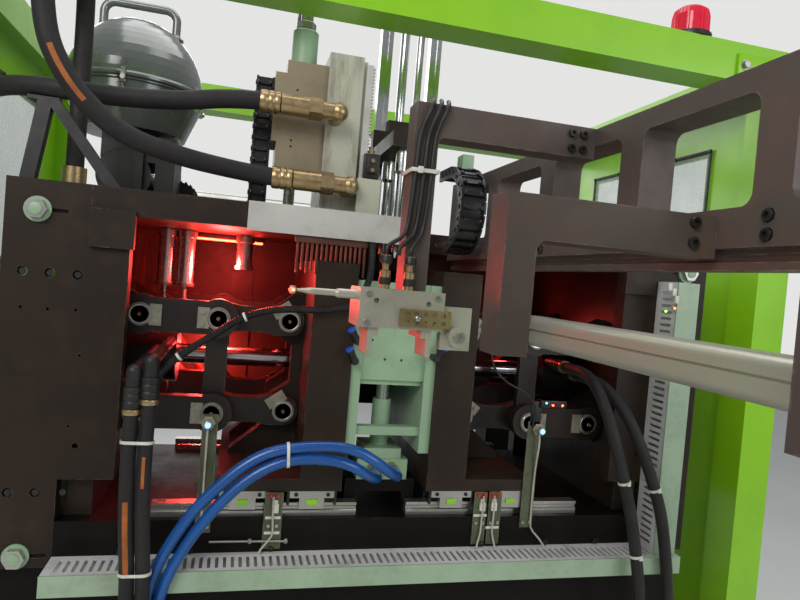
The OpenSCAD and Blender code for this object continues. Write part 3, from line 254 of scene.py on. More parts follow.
red_led = surface("red_led", (255, 60, 50), (255, 90, 60), rough=0.3, bump=0.02, glow=(255, 50, 30),
                  glow_power=30)
blue_led = surface("blue_led", (150, 200, 255), (110, 170, 255), rough=0.3, bump=0.02, glow=(110, 180, 255),
                   glow_power=3.2)
green_led = surface("green_led", (140, 255, 90), (110, 235, 70), rough=0.3, bump=0.02, glow=(110, 255, 60),
                    glow_power=8)
pane_m = surface("hazed_pane", (196, 214, 202), (176, 198, 184), (140, 156, 144), rough=0.16, rough_to=0.4,
                 alpha=0.38, bump=0.03, scale=5)
braid_m = surface("wire_braid", (186, 184, 178), (130, 128, 122), (78, 74, 68), rough=0.26, metal=0.8,
                  bump=0.6, fine=600, scale=120)
floor_m = surface("floor_coat", (226, 226, 223), (220, 220, 217), scale=0.6, rough=0.6, bump=0.02)

finish = {
    "dark_paint": dark, "link_paint": link_m, "black_rubber": hose_m, "pale_strip": strip_m,
    "bright_steel": steel_m, "green_paint": green_m, "clear_pane": pane_m, "red_lens": red_m,
    "pale_green_paint": pale_green, "manifold_metal": manifold_m, "vessel_paint": lid_m, "foil": foil_m,
    "black_plastic": black_m, "blue_hose": blue_m, "brass": brass_m, "bracket_metal": bracket_m,
    "beam_paint": beam_m, "aluminium": alu_m,
}
slot_of = {m.name: slot for slot, m in finish.items()}
for slot, *coats in (("black_rubber", stripe_m), ("black_plastic", chain_m), ("pale_strip", tie_m, lead_m),
                     ("blue_hose", ring_blue), ("bright_steel", cap_m, braid_m), ("bracket_metal", comb_reflection_m),
                     ("red_lens", red_led, blue_led, green_led, red_paint_glow)):
    slot_of.update((m.name, slot) for m in coats)
slots = {s["node"]: s["material_slot"] for s in frame["record"]["subparts"]}
special = {
    "base_frame": apron_shade_m, "blow_column": worn_green, "cable_duct_lower": duct_m,
    "cable_duct_side": duct_m, "cable_chain_beam": chain_m, "cable_chain_left": chain_m,
    "guide_columns": chrome_m, "closing_rod_left": chrome_m, "closing_rod_right": chrome_m,
    "blow_pins": chrome_m, "bottom_pin": chrome_m,
}


def paint(obj, m):
    obj.data.materials.clear()
    obj.data.materials.append(m)


def repaint(obj, m, test):
    """Faces whose middle, in mm, passes the test take another material."""
    obj.data.materials.append(m)
    index = len(obj.data.materials) - 1
    for p in obj.data.polygons:
        if test(p.center * 1000):
            p.material_index = index


for name, obj in nodes.items():
    paint(obj, special.get(name, finish[slots[name]]))
    for p in obj.data.polygons:
        p.material_index = 0

# The links' end caps and bare pins, by their distance from the middle of the clamp's depth
mid_y = clamp_depth / 2
for start, pin_x, caps_from, bare_to in (("outer_link", outer_pin_x, 200.1, 169.5),
                                         ("inner_link", inner_pin_x, 148.1, 107)):
    for name, obj in nodes.items():
        if name.startswith(start):
            repaint(obj, cap_m, lambda c: abs(c.y - mid_y) > caps_from)
            repaint(obj, chrome_m, lambda c: abs(c.y - mid_y) < bare_to and abs(abs(c.x) - pin_x) < 19)
repaint(nodes["cable_duct_lower"], duct_lid, lambda c: c.y < -84)
repaint(nodes["cable_duct_side"], duct_lid, lambda c: c.y < side_duct_front + 4)
repaint(nodes["top_plate"], black_m, lambda c: c.z > 1647.5 and c.x < -600)
repaint(nodes["extruder_barrel"], black_m, lambda c: c.y < 505)
repaint(nodes["hose_fittings"], black_m, lambda c: 1200 < c.z < 1340)
repaint(nodes["pin_cylinder"], alu_m, lambda c: 1081 < c.z < 1105 and abs(c.x) > 30)

# Softened edges on the big tubes and plates
for name, width in (("guard_frame", 0.007), ("transfer_beam", 0.0012), ("arm_brackets", 0.0012),
                    ("top_plate", 0.0012), ("end_frame_left", 0.001), ("end_frame_right", 0.001),
                    ("transfer_stand", 0.004), ("mould_left", 0.001), ("mould_right", 0.001),
                    ("valve_manifold", 0.0015), ("blow_column", 0.0015)):
    mod = nodes[name].modifiers.new("edge", "BEVEL")
    mod.width = width
    mod.segments = 3
    mod.limit_method = "ANGLE"
    mod.angle_limit = math.radians(40)


class Batch:
    """One piece of the scene, built in mm from simple forms, with its material and body."""

    def __init__(self, name, material, body="machine", smooth=35, slot=None):
        self.name, self.material, self.body, self.smooth = name, material, body, smooth
        self.slot = slot or slot_of[material.name]
        self.bm = bmesh.new()

    def add(self, verts, faces):
        vs = [self.bm.verts.new([c / 1000 for c in v]) for v in verts]
        for f in faces:
            self.bm.faces.new([vs[i] for i in f])

    def box(self, x0, x1, y0, y1, z0, z1, bevel=0.6, turn=None):
        b = bmesh.new()
        bmesh.ops.create_cube(b, size=1)
        for v in b.verts:
            v.co = Vector(((x0 + x1) / 2 + v.co.x * abs(x1 - x0), (y0 + y1) / 2 + v.co.y * abs(y1 - y0),
                           (z0 + z1) / 2 + v.co.z * abs(z1 - z0)))
        if bevel:
            bmesh.ops.bevel(b, geom=b.edges[:], offset=bevel, segments=2, affect="EDGES", profile=0.6)
        if turn:
            centre, axis, angle = turn
            m = Matrix.Rotation(math.radians(angle), 4, axis)
            for v in b.verts:
                v.co = m @ (v.co - Vector(centre)) + Vector(centre)
        b.verts.index_update()
        self.add([v.co for v in b.verts], [[v.index for v in f.verts] for f in b.faces])
        b.free()

    def turned(self, profile, origin, axis=to_top, n=24):
        """A turned shape: profile is (radius, height along the axis)."""
        q = Vector(to_top).rotation_difference(Vector(axis))
        o = Vector(origin)
        verts, faces, rings = [], [], []
        for r, h in profile:
            if r < 0.01:
                rings.append([len(verts)])
                verts.append(o + q @ Vector((0, 0, h)))
            else:
                rings.append(list(range(len(verts), len(verts) + n)))
                verts += [o + q @ Vector((r * math.cos(a), r * math.sin(a), h))
                          for a in (math.tau * k / n for k in range(n))]
        for a, b in zip(rings, rings[1:]):
            for k in range(n):
                k2 = (k + 1) % n
                if len(a) == 1 and len(b) == 1:
                    continue
                if len(a) == 1:
                    faces.append((a[0], b[k2], b[k])[::-1])
                elif len(b) == 1:
                    faces.append((a[k], a[k2], b[0]))
                else:
                    faces.append((a[k], a[k2], b[k2], b[k]))
        for ring, flip in ((rings[0], True), (rings[-1], False)):
            if len(ring) > 1:
                faces.append(tuple(ring[::-1]) if flip else tuple(ring))
        self.add(verts, faces)

    def tube(self, pts, r, n=12):
        """A round tube along the points, with flat ends."""
        pts = [Vector(p) for p in pts]
        side = None
        verts, faces = [], []
        for i, p in enumerate(pts):
            t = (pts[min(i + 1, len(pts) - 1)] - pts[max(i - 1, 0)]).normalized()
            if side is None:
                side = t.cross(Vector(to_top) if abs(t.z) < 0.9 else Vector(to_right)).normalized()
            side = (side - t * side.dot(t)).normalized()
            other = t.cross(side)
            rad = r[i] if isinstance(r, (list, tuple)) else r
            verts += [p + (side * math.cos(a) + other * math.sin(a)) * rad
                      for a in (math.tau * k / n for k in range(n))]
        for i in range(len(pts) - 1):
            for k in range(n):
                k2 = (k + 1) % n
                faces.append((i * n + k, i * n + k2, (i + 1) * n + k2, (i + 1) * n + k))
        faces.append(tuple(range(n))[::-1])
        faces.append(tuple((len(pts) - 1) * n + k for k in range(n)))
        self.add(verts, faces)

    def hexa(self, origin, axis, across, height):
        """A hexagon head or nut with chamfered edges."""
        r = across / math.sqrt(3)
        self.turned([(r - 1, 0), (r, 1), (r, height - 1), (r - 1, height)], origin, axis, 6)

    def screw(self, origin, axis, r, h):
        """A cap screw: a round head with a socket."""
        self.turned([(r * 0.98, 0), (r, h * 0.1), (r, h * 0.85), (r * 0.92, h), (r * 0.5, h),
                     (r * 0.5, h * 0.45), (0, h * 0.4)], origin, axis, 24)

    def done(self):
        bmesh.ops.recalc_face_normals(self.bm, faces=self.bm.faces[:])
        me = bpy.data.meshes.new(self.name)
        self.bm.to_mesh(me)
        self.bm.free()
        for p in me.polygons:
            p.use_smooth = True
        me.set_sharp_from_angle(angle=math.radians(self.smooth))
        obj = bpy.data.objects.new(self.name, me)
        bpy.context.collection.objects.link(obj)
        me.materials.append(self.material)
        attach(obj, self.body)
        return obj


def curve(points, step=12):
    """A smooth path through the points."""
    pts = [Vector(p) for p in points]
    ext = [pts[0] * 2 - pts[1]] + pts + [pts[-1] * 2 - pts[-2]]
    out = []
    for i in range(1, len(ext) - 2):
        p0, p1, p2, p3 = ext[i - 1:i + 3]
        n = max(2, int((p2 - p1).length / step))
        t0 = 0
        t1 = max((p1 - p0).length, 1e-6) ** 0.5
        t2 = t1 + max((p2 - p1).length, 1e-6) ** 0.5
        t3 = t2 + max((p3 - p2).length, 1e-6) ** 0.5
        for k in range(n):
            t = t1 + (t2 - t1) * k / n
            a1 = p0 * ((t1 - t) / (t1 - t0)) + p1 * ((t - t0) / (t1 - t0))
            a2 = p1 * ((t2 - t) / (t2 - t1)) + p2 * ((t - t1) / (t2 - t1))
            a3 = p2 * ((t3 - t) / (t3 - t2)) + p3 * ((t - t2) / (t3 - t2))
            b1 = a1 * ((t2 - t) / (t2 - t0)) + a2 * ((t - t0) / (t2 - t0))
            b2 = a2 * ((t3 - t) / (t3 - t1)) + a3 * ((t - t1) / (t3 - t1))
            out.append(b1 * ((t2 - t) / (t2 - t1)) + b2 * ((t - t1) / (t2 - t1)))
    out.append(pts[-1])
    return out


def hose(name, points, r, material, body="machine", n=16, slot=None):
    """A smooth hose or lead through the points, held at both ends."""
    path = curve(points)
    b = Batch(name, material, body, smooth=60, slot=slot)
    b.tube(path, r, n)
    obj = b.done()
    return obj, path


# Hoses, along the same routes as their solids
upper_a = [(-262.3, 40, 1712), (-310, 40, 1712), (-400, 22, 1716), (-509, -24, 1725), (-601, -52, 1748),
           (-678, -73.8, 1804), (-730, -87.8, 1885), (-750, -90, 1980), (-752, -90, 2078),
           (-753.5, -77.2, 2142.3), (-754.8, -40.8, 2196.8), (-755.7, 13.7, 2233.2), (-756, 78, 2246),
           (-756, 142.3, 2233.2), (-756, 196.8, 2196.8), (-756, 233.2, 2142.3), (-756, 246, 2078),
           (-756, 246, 1708)]
upper_b = [(-300.3, 45, 1876), (-345, 45, 1876), (-420, 39, 1867), (-510, 30, 1848), (-620, 23, 1836),
           (-742, 23, 1834), (-824, 43.4, 1834), (-886, 101, 1836), (-947, 158, 1836), (-1028, 178, 1836),
           (-1040, 178, 1836)]
left_a = [(-541, -118, 1262), (-541, -118, 1210), (-541, -123, 1140), (-536, -131, 1020),
          (-526, -131, 880), (-524, -131, 763), (-524, -115.6, 705.5), (-524, -73.5, 663.4),
          (-524, -16, 648), (-524, -0.3, 648)]
left_b = [(-511, -118, 1282), (-511, -118, 1210), (-511, -123, 1140), (-507, -131, 1020),
          (-497, -131, 880), (-495, -131, 763), (-495, -115.6, 705.5), (-495, -73.5, 663.4),
          (-495, -16, 648), (-495, -0.3, 648)]
right_a = [(511, 189.7, 1310), (511, 100, 1310), (508, 44, 1310), (502, -8, 1302), (500, -52, 1278),
           (505, -81, 1241), (518, -95, 1193), (548, -105, 1098), (578, -110, 1000), (600, -122, 880),
           (607, -128, 819), (609, -130, 763), (611, -114.6, 705.5), (612, -72.5, 663.4),
           (612, -15, 648), (612, -0.3, 648)]
right_b = [(545, 189.7, 1290), (545, 100, 1290), (544, 50, 1290), (548, 2, 1282), (558, -42, 1257),
           (574, -74, 1218), (593, -90, 1174), (628, -103, 1090), (662, -108, 1000), (690, -108, 880),
           (700, -108, 820), (706, -108, 762), (710, -92.6, 704.5), (713, -50.5, 662.4), (714, 7, 647),
           (714, 39.7, 647)]
air_a = [(22, 18, 1062), (22, -6, 1062), (12.6, -52.9, 1069), (-13.3, -88.9, 1088.5),
         (-49.6, -105.5, 1115.7), (-85, -106, 1135), (-129, -105, 1146), (-210, -104, 1145),
         (-277, -104, 1132), (-328, -104, 1102), (-371, -104, 1062), (-411, -104, 1018),
         (-441, -104, 972), (-466, -104, 925), (-485, -104, 875), (-494, -104, 820),
         (-495, -91.4, 773), (-495, -57, 738.6), (-495, -10, 726), (-495, -0.3, 726)]
air_b = [(-24, 18, 1058), (-24, -6, 1058), (-33.5, -51, 1064), (-60, -85.6, 1080.4),
         (-97, -101.5, 1103.6), (-140, -104, 1117), (-208, -104, 1120), (-263, -104, 1108),
         (-312, -104, 1079), (-355, -104, 1039), (-390, -104, 996), (-418, -104, 955),
         (-441, -104, 912), (-460, -104, 866), (-470, -104, 818), (-471, -91.4, 771),
         (-471, -57, 736.6), (-471, -10, 724), (-471, -0.3, 724)]
paths = {}
for name, route, r in (("upper_hose_a", upper_a, hose_r), ("upper_hose_b", upper_b, hose_r),
                       ("left_hose_a", left_a, lower_hose_r), ("left_hose_b", left_b, lower_hose_r),
                       ("right_hose_a", right_a, lower_hose_r), ("right_hose_b", right_b, lower_hose_r)):
    obj, paths[name] = hose(name, route, r, hose_m, n=24)
    if name == "upper_hose_a":
        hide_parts("hydraulic_hoses")
for name, route in (("air_hose_a", air_a), ("air_hose_b", air_b)):
    obj, paths[name] = hose(name, route, air_hose_r, blue_m, n=20)
    if name == "air_hose_a":
        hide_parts("air_hoses")


def part_of(path, start, end):
    """The stretch of a path between two distances from its start."""
    out, run = [], 0
    for a, b in zip(path, path[1:]):
        if start <= run <= end:
            out.append(a)
        run += (b - a).length
    return out


def stripe(batch, path, r, start, end, half):
    """A thin band along a hose's front, half its angle to each side."""
    pts = part_of(path, start, end)
    side, rows = None, []
    columns = 7
    for i, p in enumerate(pts):
        t = (pts[min(i + 1, len(pts) - 1)] - pts[max(i - 1, 0)]).normalized()
        if side is None:
            side = t.cross(Vector((0, 1, 0))).normalized()
        side = (side - t * side.dot(t)).normalized()
        other = t.cross(side)
        row = []
        for k in range(columns):
            a = math.radians(90 - half + 2 * half * k / (columns - 1))
            row.append(p + (side * math.cos(a) + other * math.sin(a)) * (r + 0.35))
        rows.append(row)
    verts = [v for row in rows for v in row]
    faces = [(i + k, i + k + 1, i + columns + k + 1, i + columns + k)
             for i in range(0, (len(rows) - 1) * columns, columns) for k in range(columns - 1)]
    batch.add(verts, faces)


b = Batch("hose_stripes", stripe_m)
stripe(b, paths["left_hose_a"], lower_hose_r, 215, 360, 20)
stripe(b, paths["left_hose_b"], lower_hose_r, 150, 215, 12)
stripe(b, paths["upper_hose_a"], hose_r, 440, 560, 14)
b.done()


def ring_round(batch, centre, axis, r, width):
    """A flat band round a hose."""
    a = Vector(axis).normalized()
    o = Vector(centre) - a * (width / 2)
    outer = r + band
    batch.turned([(r, 0), (outer, 0), (outer, width), (r, width)], o, a, 28)


def near(path, place, axis=2, reach=1):
    """The path's point nearest to a place on an axis, and the path's direction there."""
    i = min(range(reach, len(path) - reach), key=lambda k: abs(path[k][axis] - place))
    return path[i], path[i + reach] - path[i - reach]


# Brass ferrules at the upper hoses' fittings and nuts at the lower hoses' far ends
lower_hoses = ("left_hose_a", "left_hose_b", "right_hose_a", "right_hose_b")
ferrules = Batch("hose_ferrules", brass_m)
for name in ("upper_hose_a", "upper_hose_b"):
    path = paths[name]
    p, t = path[0], (path[1] - path[0]).normalized()
    ferrules.turned([(hose_r + out, h) for out, h in (
        (0.2, 2), (4.5, 2), (5, 5), (5, 12), (3.6, 14), (5, 16), (5, 26), (3.6, 28), (5, 30), (5, 42),
        (3, 46), (0.2, 46))], p, t, 28)
for name in lower_hoses:
    path = paths[name]
    p, t = path[-1], (path[-2] - path[-1]).normalized()
    ferrules.turned([(14.2, 0), (20, 0), (20, 9), (17, 11), (17, 26), (16, 28), (14.2, 28)], p, t, 24)
ferrules.done()

# Black crimp sleeves at the lower hoses' tops, with one brass ring each
sleeves = Batch("hose_sleeves", black_m)
sleeve_rings = Batch("hose_sleeve_rings", brass_m)
for name in lower_hoses:
    path = paths[name]
    p, t = path[0], (path[1] - path[0]).normalized()
    sleeves.turned([(14.2, 1), (17, 1), (17.6, 4), (17.6, 12), (16.4, 14), (17.6, 16), (17.6, 26),
                    (16.4, 28), (17.6, 30), (17.6, 40), (16, 43), (14.2, 43)], p, t, 24)
    sleeve_rings.turned([(14.2, 44), (17.2, 44), (17.8, 46), (17.8, 52), (17.2, 54), (14.2, 54)], p, t, 24)
sleeves.done()
sleeve_rings.done()


def tie_pair(batch, a, c, along, r):
    """A tie round two hoses of radius r side by side, with their middles at a and c, and its head."""
    t = along.normalized()
    mid = (a + c) / 2
    gap = (c - a).length / 2
    across = (c - a).normalized()
    over = t.cross(across)
    steps, half_width = 24, 3
    verts, faces = [], []
    for k in range(steps):
        ang = math.tau * k / steps
        s = 1 if math.cos(ang) > 0 else -1
        q = mid + across * (s * gap + (r + band) * math.cos(ang)) + over * (r + band) * math.sin(ang)
        out = (q - mid).normalized() * band
        verts += [q - t * half_width, q + out - t * half_width, q + out + t * half_width, q + t * half_width]
        n = (k + 1) % steps
        faces += [(k * 4 + e, n * 4 + e, n * 4 + (e + 1) % 4, k * 4 + (e + 1) % 4) for e in range(4)]
    batch.add(verts, faces)
    head = mid - over * (r + 4)
    batch.box(head.x - 4, head.x + 4, head.y - 3, head.y + 3, head.z - 3, head.z + 3, 0.8)


# White ties round the hoses
ties = Batch("cable_ties", tie_m)
for z in (1148, 905):
    a, along = near(paths["left_hose_a"], z)
    c, _ = near(paths["left_hose_b"], z)
    tie_pair(ties, a, c, along, lower_hose_r)
a, along = near(paths["air_hose_a"], -233, axis=0)
tie_pair(ties, a, min(paths["air_hose_b"], key=lambda q: (q - a).length), along, air_hose_r)
for name, z in (("right_hose_a", 1076), ("right_hose_b", 1062), ("right_hose_a", 900)):
    p, t = near(paths[name], z)
    ring_round(ties, p, t, 14.2, 6)
    ties.box(p.x - 4, p.x + 4, p.y - 21, p.y - 15, p.z - 3, p.z + 3, 0.8)
ties.done()

# Corrugated cable sleeve in front of the left links
sleeve_route = [(-545, -16, 886), (-545, -18, 960), (-540, -18, 1060), (-532, -18, 1140), (-522, -18, 1210),
                (-500, -18, 1276), (-454, -18, 1322), (-406, -18, 1357), (-363, -18, 1389), (-330, -18, 1406),
                (-290, -18, 1418), (-242, -18, 1424), (-170, -18, 1428), (-110, -18, 1446), (-82, -18, 1496),
                (-78, -18, 1552), (-78, -10, 1584)]
sleeve_path = curve(sleeve_route, 2.4)
b = Batch("cable_sleeve", black_m, smooth=20)
b.tube(sleeve_path, [8.6 if i % 2 else 6.9 for i in range(len(sleeve_path))], 12)
sleeve = b.done()
b = Batch("sleeve_ties", tie_m)
for x in (-343, -470):
    p, t = near(sleeve_path, x, axis=0, reach=2)
    ring_round(b, p, t, 8.7, 5)
b.done()

# Lubrication nipples and rings on the pins' end caps
for side, s in (("left", -1), ("right", 1)):
    for row, z in (("upper", upper_row_z), ("lower", lower_row_z)):
        for kind, cap_y, spots in (("outer", outer_cap_y, (outer_pin_x, elbow_x)),
                                   ("inner", inner_cap_y, (inner_pin_x,))):
            body = f"{kind}_{side}_{row}"
            b = Batch("nipples_" + body, brass_m, body)
            rings = Batch("cap_rings_" + body, steel_m, body)
            for x in spots:
                for y, way in ((cap_y, -1), (clamp_depth - cap_y, 1)):
                    o, axis = (s * x, y, z), (0, way, 0)
                    b.hexa(o, axis, 9, 5)
                    b.turned([(2.6, 5), (2.6, 9), (3.6, 10), (3.6, 12), (2, 14), (0, 14.5)], o, axis, 14)
                    rings.turned([(19, 0), (19, 1.6), (20.5, 2.2), (23, 2.2), (24, 1.4), (24, 0)],
                                 o, axis, 36)
            b.done()
            rings.done()

# Lights inside the clamp: a red lamp bar, and small lamps on the sensors
b = Batch("lamp_bar_body", black_m)
b.box(-486, -300, 372, 392, 1578, top_plate_under, 1.5)
b.done()
b = Batch("lamp_bar_lens", red_led)
b.box(-480, -306, 375, 389, 1573, 1578, 1.2)
b.done()


def sensor(name, body, x, y, z, r, l, lamp):
    """A round proximity sensor with its nut, pointing along -Y, and a lamp at its end."""
    c = Batch(name + "_body", cap_m, body)
    c.turned([(r, 0), (r, l * 0.5), (r * 0.94, l * 0.52), (r * 0.94, l * 0.94), (r * 0.7, l)], (x, y, z),
             to_front, 20)
    c.hexa((x, y - l * 0.12, z), to_front, r * 2.9, l * 0.16)
    c.done()
    e = Batch(name + "_lamp", lamp, body)
    e.turned([(r * 0.6, 0), (r * 0.6, 1.6), (r * 0.3, 2.6), (0, 2.8)], (x, y - l, z), to_front, 16)
    e.done()


sensor("sensor_left", "machine", -402, bracket_front, 1168, 9.5, 26, blue_led)
sensor("sensor_right", "machine", 372, bracket_front, 1172, 9.5, 26, blue_led)
sensor("duct_lamp_red", "machine", 664, side_duct_front, 1495, 4, 8, red_led)
sensor("duct_lamp_green", "machine", 640, side_duct_front, 1486, 4, 8, green_led)
b = Batch("duct_plugs", tie_m)
for x, z in ((648, 1546), (661, 1534), (670, 1516)):
    b.box(x - 5, x + 5, side_duct_front - 8, side_duct_front, z - 9, z + 9, 1.2)
b.done()
sensor("nozzle_lamp", "takeout", -286, -484, 1478, 4, 9, red_led)

# Cylinders behind the left links, under the top plate
b = Batch("core_cylinders", steel_m)
core_y = 318
for x, low in ((-545, 1445), (-497, 1445), (-352, 1500)):
    high = 1591 - low
    b.turned([(23, 0), (24, 2), (24, 10), (20.5, 11), (20.5, high - 20), (24, high - 19), (24, high - 4),
              (14, high - 3), (14, high)], (x, core_y, low), to_top, 28)
for x in (-545, -497):
    b.turned([(7, 0), (7, 40)], (x, core_y, 1406), to_top, 16)
    b.turned([(11, 0), (11, 12), (9, 14)], (x, core_y, 1400), to_top, 6)
b.done()

# Slanted pipes on the rear cover, in the red light; their red colour and glow are painted red light on chrome
# rods
b = Batch("slanted_pipes_painted_red_light", red_paint_glow)
pipe_y = 596
for x0, z0, x1, z1 in ((-560, 1330, -430, 1165), (-575, 1270, -470, 1140), (420, 1180, 560, 1320)):
    b.tube([(x0, pipe_y, z0), ((x0 + x1) / 2, pipe_y, (z0 + z1) / 2), (x1, pipe_y, z1)], 8, 14)
    for f in (0.08, 0.92):
        x, z = x0 + (x1 - x0) * f, z0 + (z1 - z0) * f
        b.box(x - 14, x + 14, 586, rear_cover_front, z - 8, z + 8, 1.5)
b.done()

# Red-painted stop bracket behind the right links, with the primer's painted glow
b = Batch("stop_bracket", red_paint_glow)
b.box(560, 574, 560, 598, 1300, 1400, 1.5)
b.box(520, 574, 590, 598, 1330, 1400, 1.5)
b.box(424, 500, 588, rear_cover_front, 1236, 1262, 2)
b.done()

# Comb of slats under the top plate's opening: black slats given a red-brown colour as a painted red
# reflection
b = Batch("comb_slats", comb_reflection_m)
b.box(-248, -86, 4, 16, 1572, top_plate_under, 1)
comb_x, comb_pitch = -244, 10.8
for i in range(15):
    x = comb_x + i * comb_pitch
    b.box(x, x + 5, 7, 13, 1504 + 7 * (i % 2), 1573, 0.8)
b.done()

# Push-in fittings on the moulds' back plates
for side, spots in (("left", ((-95, 1363, -35), (-98, 1318, -30))), ("right", ((92, 1333, 35),))):
    body = Batch(f"push_fittings_{side}", black_m, f"clamp_{side}")
    collar = Batch(f"push_collars_{side}", ring_blue, f"clamp_{side}")
    for x, z, turn in spots:
        body.hexa((x, 10, z), to_front, 15, 7)
        body.turned([(8, 7), (8, 22), (9, 24), (9, 34), (7, 38), (0, 38)], (x, 10, z), to_front, 18)
        way = Vector((math.sin(math.radians(turn)), -0.2, math.cos(math.radians(turn)))).normalized()
        start = Vector((x, -18, z))
        body.turned([(8, 0), (8, 20), (9, 22), (9, 28)], start, way, 18)
        collar.turned([(9.4, 28), (9.4, 33), (8, 34), (5.5, 34)], start, way, 18)
    body.done()
    collar.done()

# Tubes down the first arm's leg, with their tie
leg_x, leg_y = -121, -472
for i, (dx, dy) in enumerate(((4, -6), (17, -6.5), (29, -5.5))):
    x, y = leg_x + dx, leg_y + dy
    end_x = -153 + 18.5 * i
    route = [(x + 24, leg_y + 20 + dy, 1786), (x + 18, leg_y - 3 + dy, 1772), (x + 4, y, 1730), (x, y, 1668),
             (x - 3, y, 1610), (x - 8, y, 1575), (end_x, -489, 1552), (end_x, -489, 1541)]
    hose(f"arm_tube_{i + 1}", route, 3.4, black_m, "takeout", n=10)
b = Batch("arm_tie", tie_m, "takeout")
tie_z, tie_back = 1672, -426
for x0, x1, y0, y1 in ((-2, 40, leg_y - 12, leg_y - 10.4), (-3.6, -2, leg_y - 12, tie_back),
                       (38.4, 40, leg_y - 12, tie_back), (-3.6, 40, tie_back - 1.6, tie_back)):
    b.box(leg_x + x0, leg_x + x1, y0, y1, tie_z - 3, tie_z + 3, 0.5)
b.box(leg_x + 6, leg_x + 14, leg_y - 16, leg_y - 11, tie_z - 5, tie_z + 5, 1)
b.done()

# Braided pipe and its green vessel over the manifold
vessel_x, vessel_y = -248, 170
b = Batch("vessel_top", pale_green)
b.turned([(26, 0), (31, 3), (31, 88), (27, 92), (17, 93), (17, 98), (15.5, 98), (15.5, 24), (0, 24)],
         (vessel_x, vessel_y, 1997), to_top, 32)
b.done()
braid_route = [(vessel_x, y, z) for y, z in (
    (vessel_y, 2024), (vessel_y, 2080), (vessel_y, 2128), (184, 2168), (220, 2196), (262, 2204), (306, 2192),
    (336, 2156), (345, 2110), (345, 1960), (345, 1800), (345, 1690), (345, 1648))]
hose("braided_pipe", braid_route, 15, braid_m, n=24)
b = Batch("braid_nuts", steel_m)
b.hexa((vessel_x, vessel_y, 2094), to_top, 40, 16)
b.hexa((vessel_x, 345, 1647.2), to_top, 40, 18)
b.done()

# Toothed strip and dark clamp beside the blow column
b = Batch("toothed_strip", strip_m)
b.box(-104, -88, 92, 99.5, 1700, 2010, 0.8)
for i in range(38):
    b.box(-88, -83.5, 92, 99.5, 1704 + i * 8, 1708 + i * 8, 0.5)
b.done()
b = Batch("guide_clamp", black_m)
b.box(-96, -58, 76, 128, 1742, 1800, 3)
b.box(-90, -64, 70, 76, 1752, 1790, 2)
b.done()
b = Batch("clamp_screws", brass_m)
b.turned([(9, 0), (9, 12), (6, 13), (6, 20), (0, 20)], (-77, 102, 1800), to_top, 6)
for z in (1760, 1782):
    b.screw((-77, 70, z), to_front, 5, 5)
b.done()


def chain_boss(batch, centre, axis, r=5.2):
    """The round pin end of one chain link."""
    batch.turned([(r, 0), (r, 1.2), (r * 0.8, 1.8), (r * 0.42, 1.8), (r * 0.42, 0.6), (0, 0.5)],
                 centre, axis, 16)


# Chain details: a boss and a clip at each link
b = Batch("beam_chain_bosses", chain_m, "takeout")
chain_x0, chain_x1, chain_y, chain_z, chain_r = 100, 160, 24, 1682, 88
turns = [math.radians(90 + 18 * i) for i in range(11)]
straights = [(chain_y + 26 * k, chain_z + s * chain_r) for s in (-1, 1) for k in (1, 2)]
for a in turns:
    c, s = math.cos(a), math.sin(a)
    out = Vector((0, c, s))
    y, z = chain_y + chain_r * c, chain_z + chain_r * s
    chain_boss(b, (chain_x0 - 0.05, y, z), to_left)
    chain_boss(b, (chain_x1 + 0.05, y, z), to_right)
    for x in (chain_x0 + 12, chain_x1 - 12):
        o = Vector((x, chain_y, chain_z)) + out * (chain_r + 12)
        b.turned([(5, 0), (5, 2), (3, 3), (0, 3)], o, out, 12)
for y, z in straights:
    chain_boss(b, (chain_x0 - 0.05, y, z), to_left)
    chain_boss(b, (chain_x1 + 0.05, y, z), to_right)
b.done()
b = Batch("left_chain_bosses", chain_m)
for i in range(12):
    chain_boss(b, (-356.05, 150, 1647 + (i + 0.5) * 26), to_left, 6)
    for x in (-349, -322):
        b.turned([(4.5, 0), (4.5, 2), (2.5, 3), (0, 3)], (x, 138, 1647 + (i + 0.5) * 26), to_front, 12)
b.done()

# Screws of the beam, the arms and the gripper
b = Batch("beam_screws", black_m, "takeout")
for y in (-838, -575, -312):
    for z in (1585, 1606):
        b.screw((184.6, y, z), to_left, 7.2, 5.5)
for x, y, z in ((140, -472, 1764), (140, -472, 1740), (160, -472, 1764), (160, -472, 1740),
                (150, -764, 1600), (150, -764, 1576), (150, -1180, 1610), (150, -1180, 1586)):
    b.screw((x, y, z), to_front, 6.5, 6)
for y in range(-1270, 220, 120):
    b.screw((199, y, 1547.1), (0, 0, -1), 4.6, 0.6)
b.done()
b = Batch("gripper_screws", steel_m, "takeout")
for x in (-178, -72):
    for z in (1440, 1482):
        b.screw((x, -500, z), to_front, 4.5, 4.5)
b.screw((-38, -512, 1426), to_front, 9, 5)
b.turned([(4, 0), (4, 9), (2.4, 10), (0, 10)], (-104, -506, 1450), to_front, 12)
b.done()
b = Batch("valve_rings", black_m, "takeout")
for x in (-153, -116):
    for profile in ([(8.2, 6), (9.2, 7), (9.2, 16), (8.2, 17)], [(8.2, 38), (9.4, 39), (9.4, 47), (8.2, 49)]):
        b.turned(profile, (x, -489, 1490), to_top, 18)
b.done()

# A plate on the beam and a small green box behind it
b = Batch("beam_plate", beam_m, "takeout")
b.box(52, 182.6, -470, -430, 1726, 1732, 1)
b.done()
b = Batch("valve_box", pale_green)
b.box(152, 182, 88, 130, 1790, 1832, 2)
b.done()

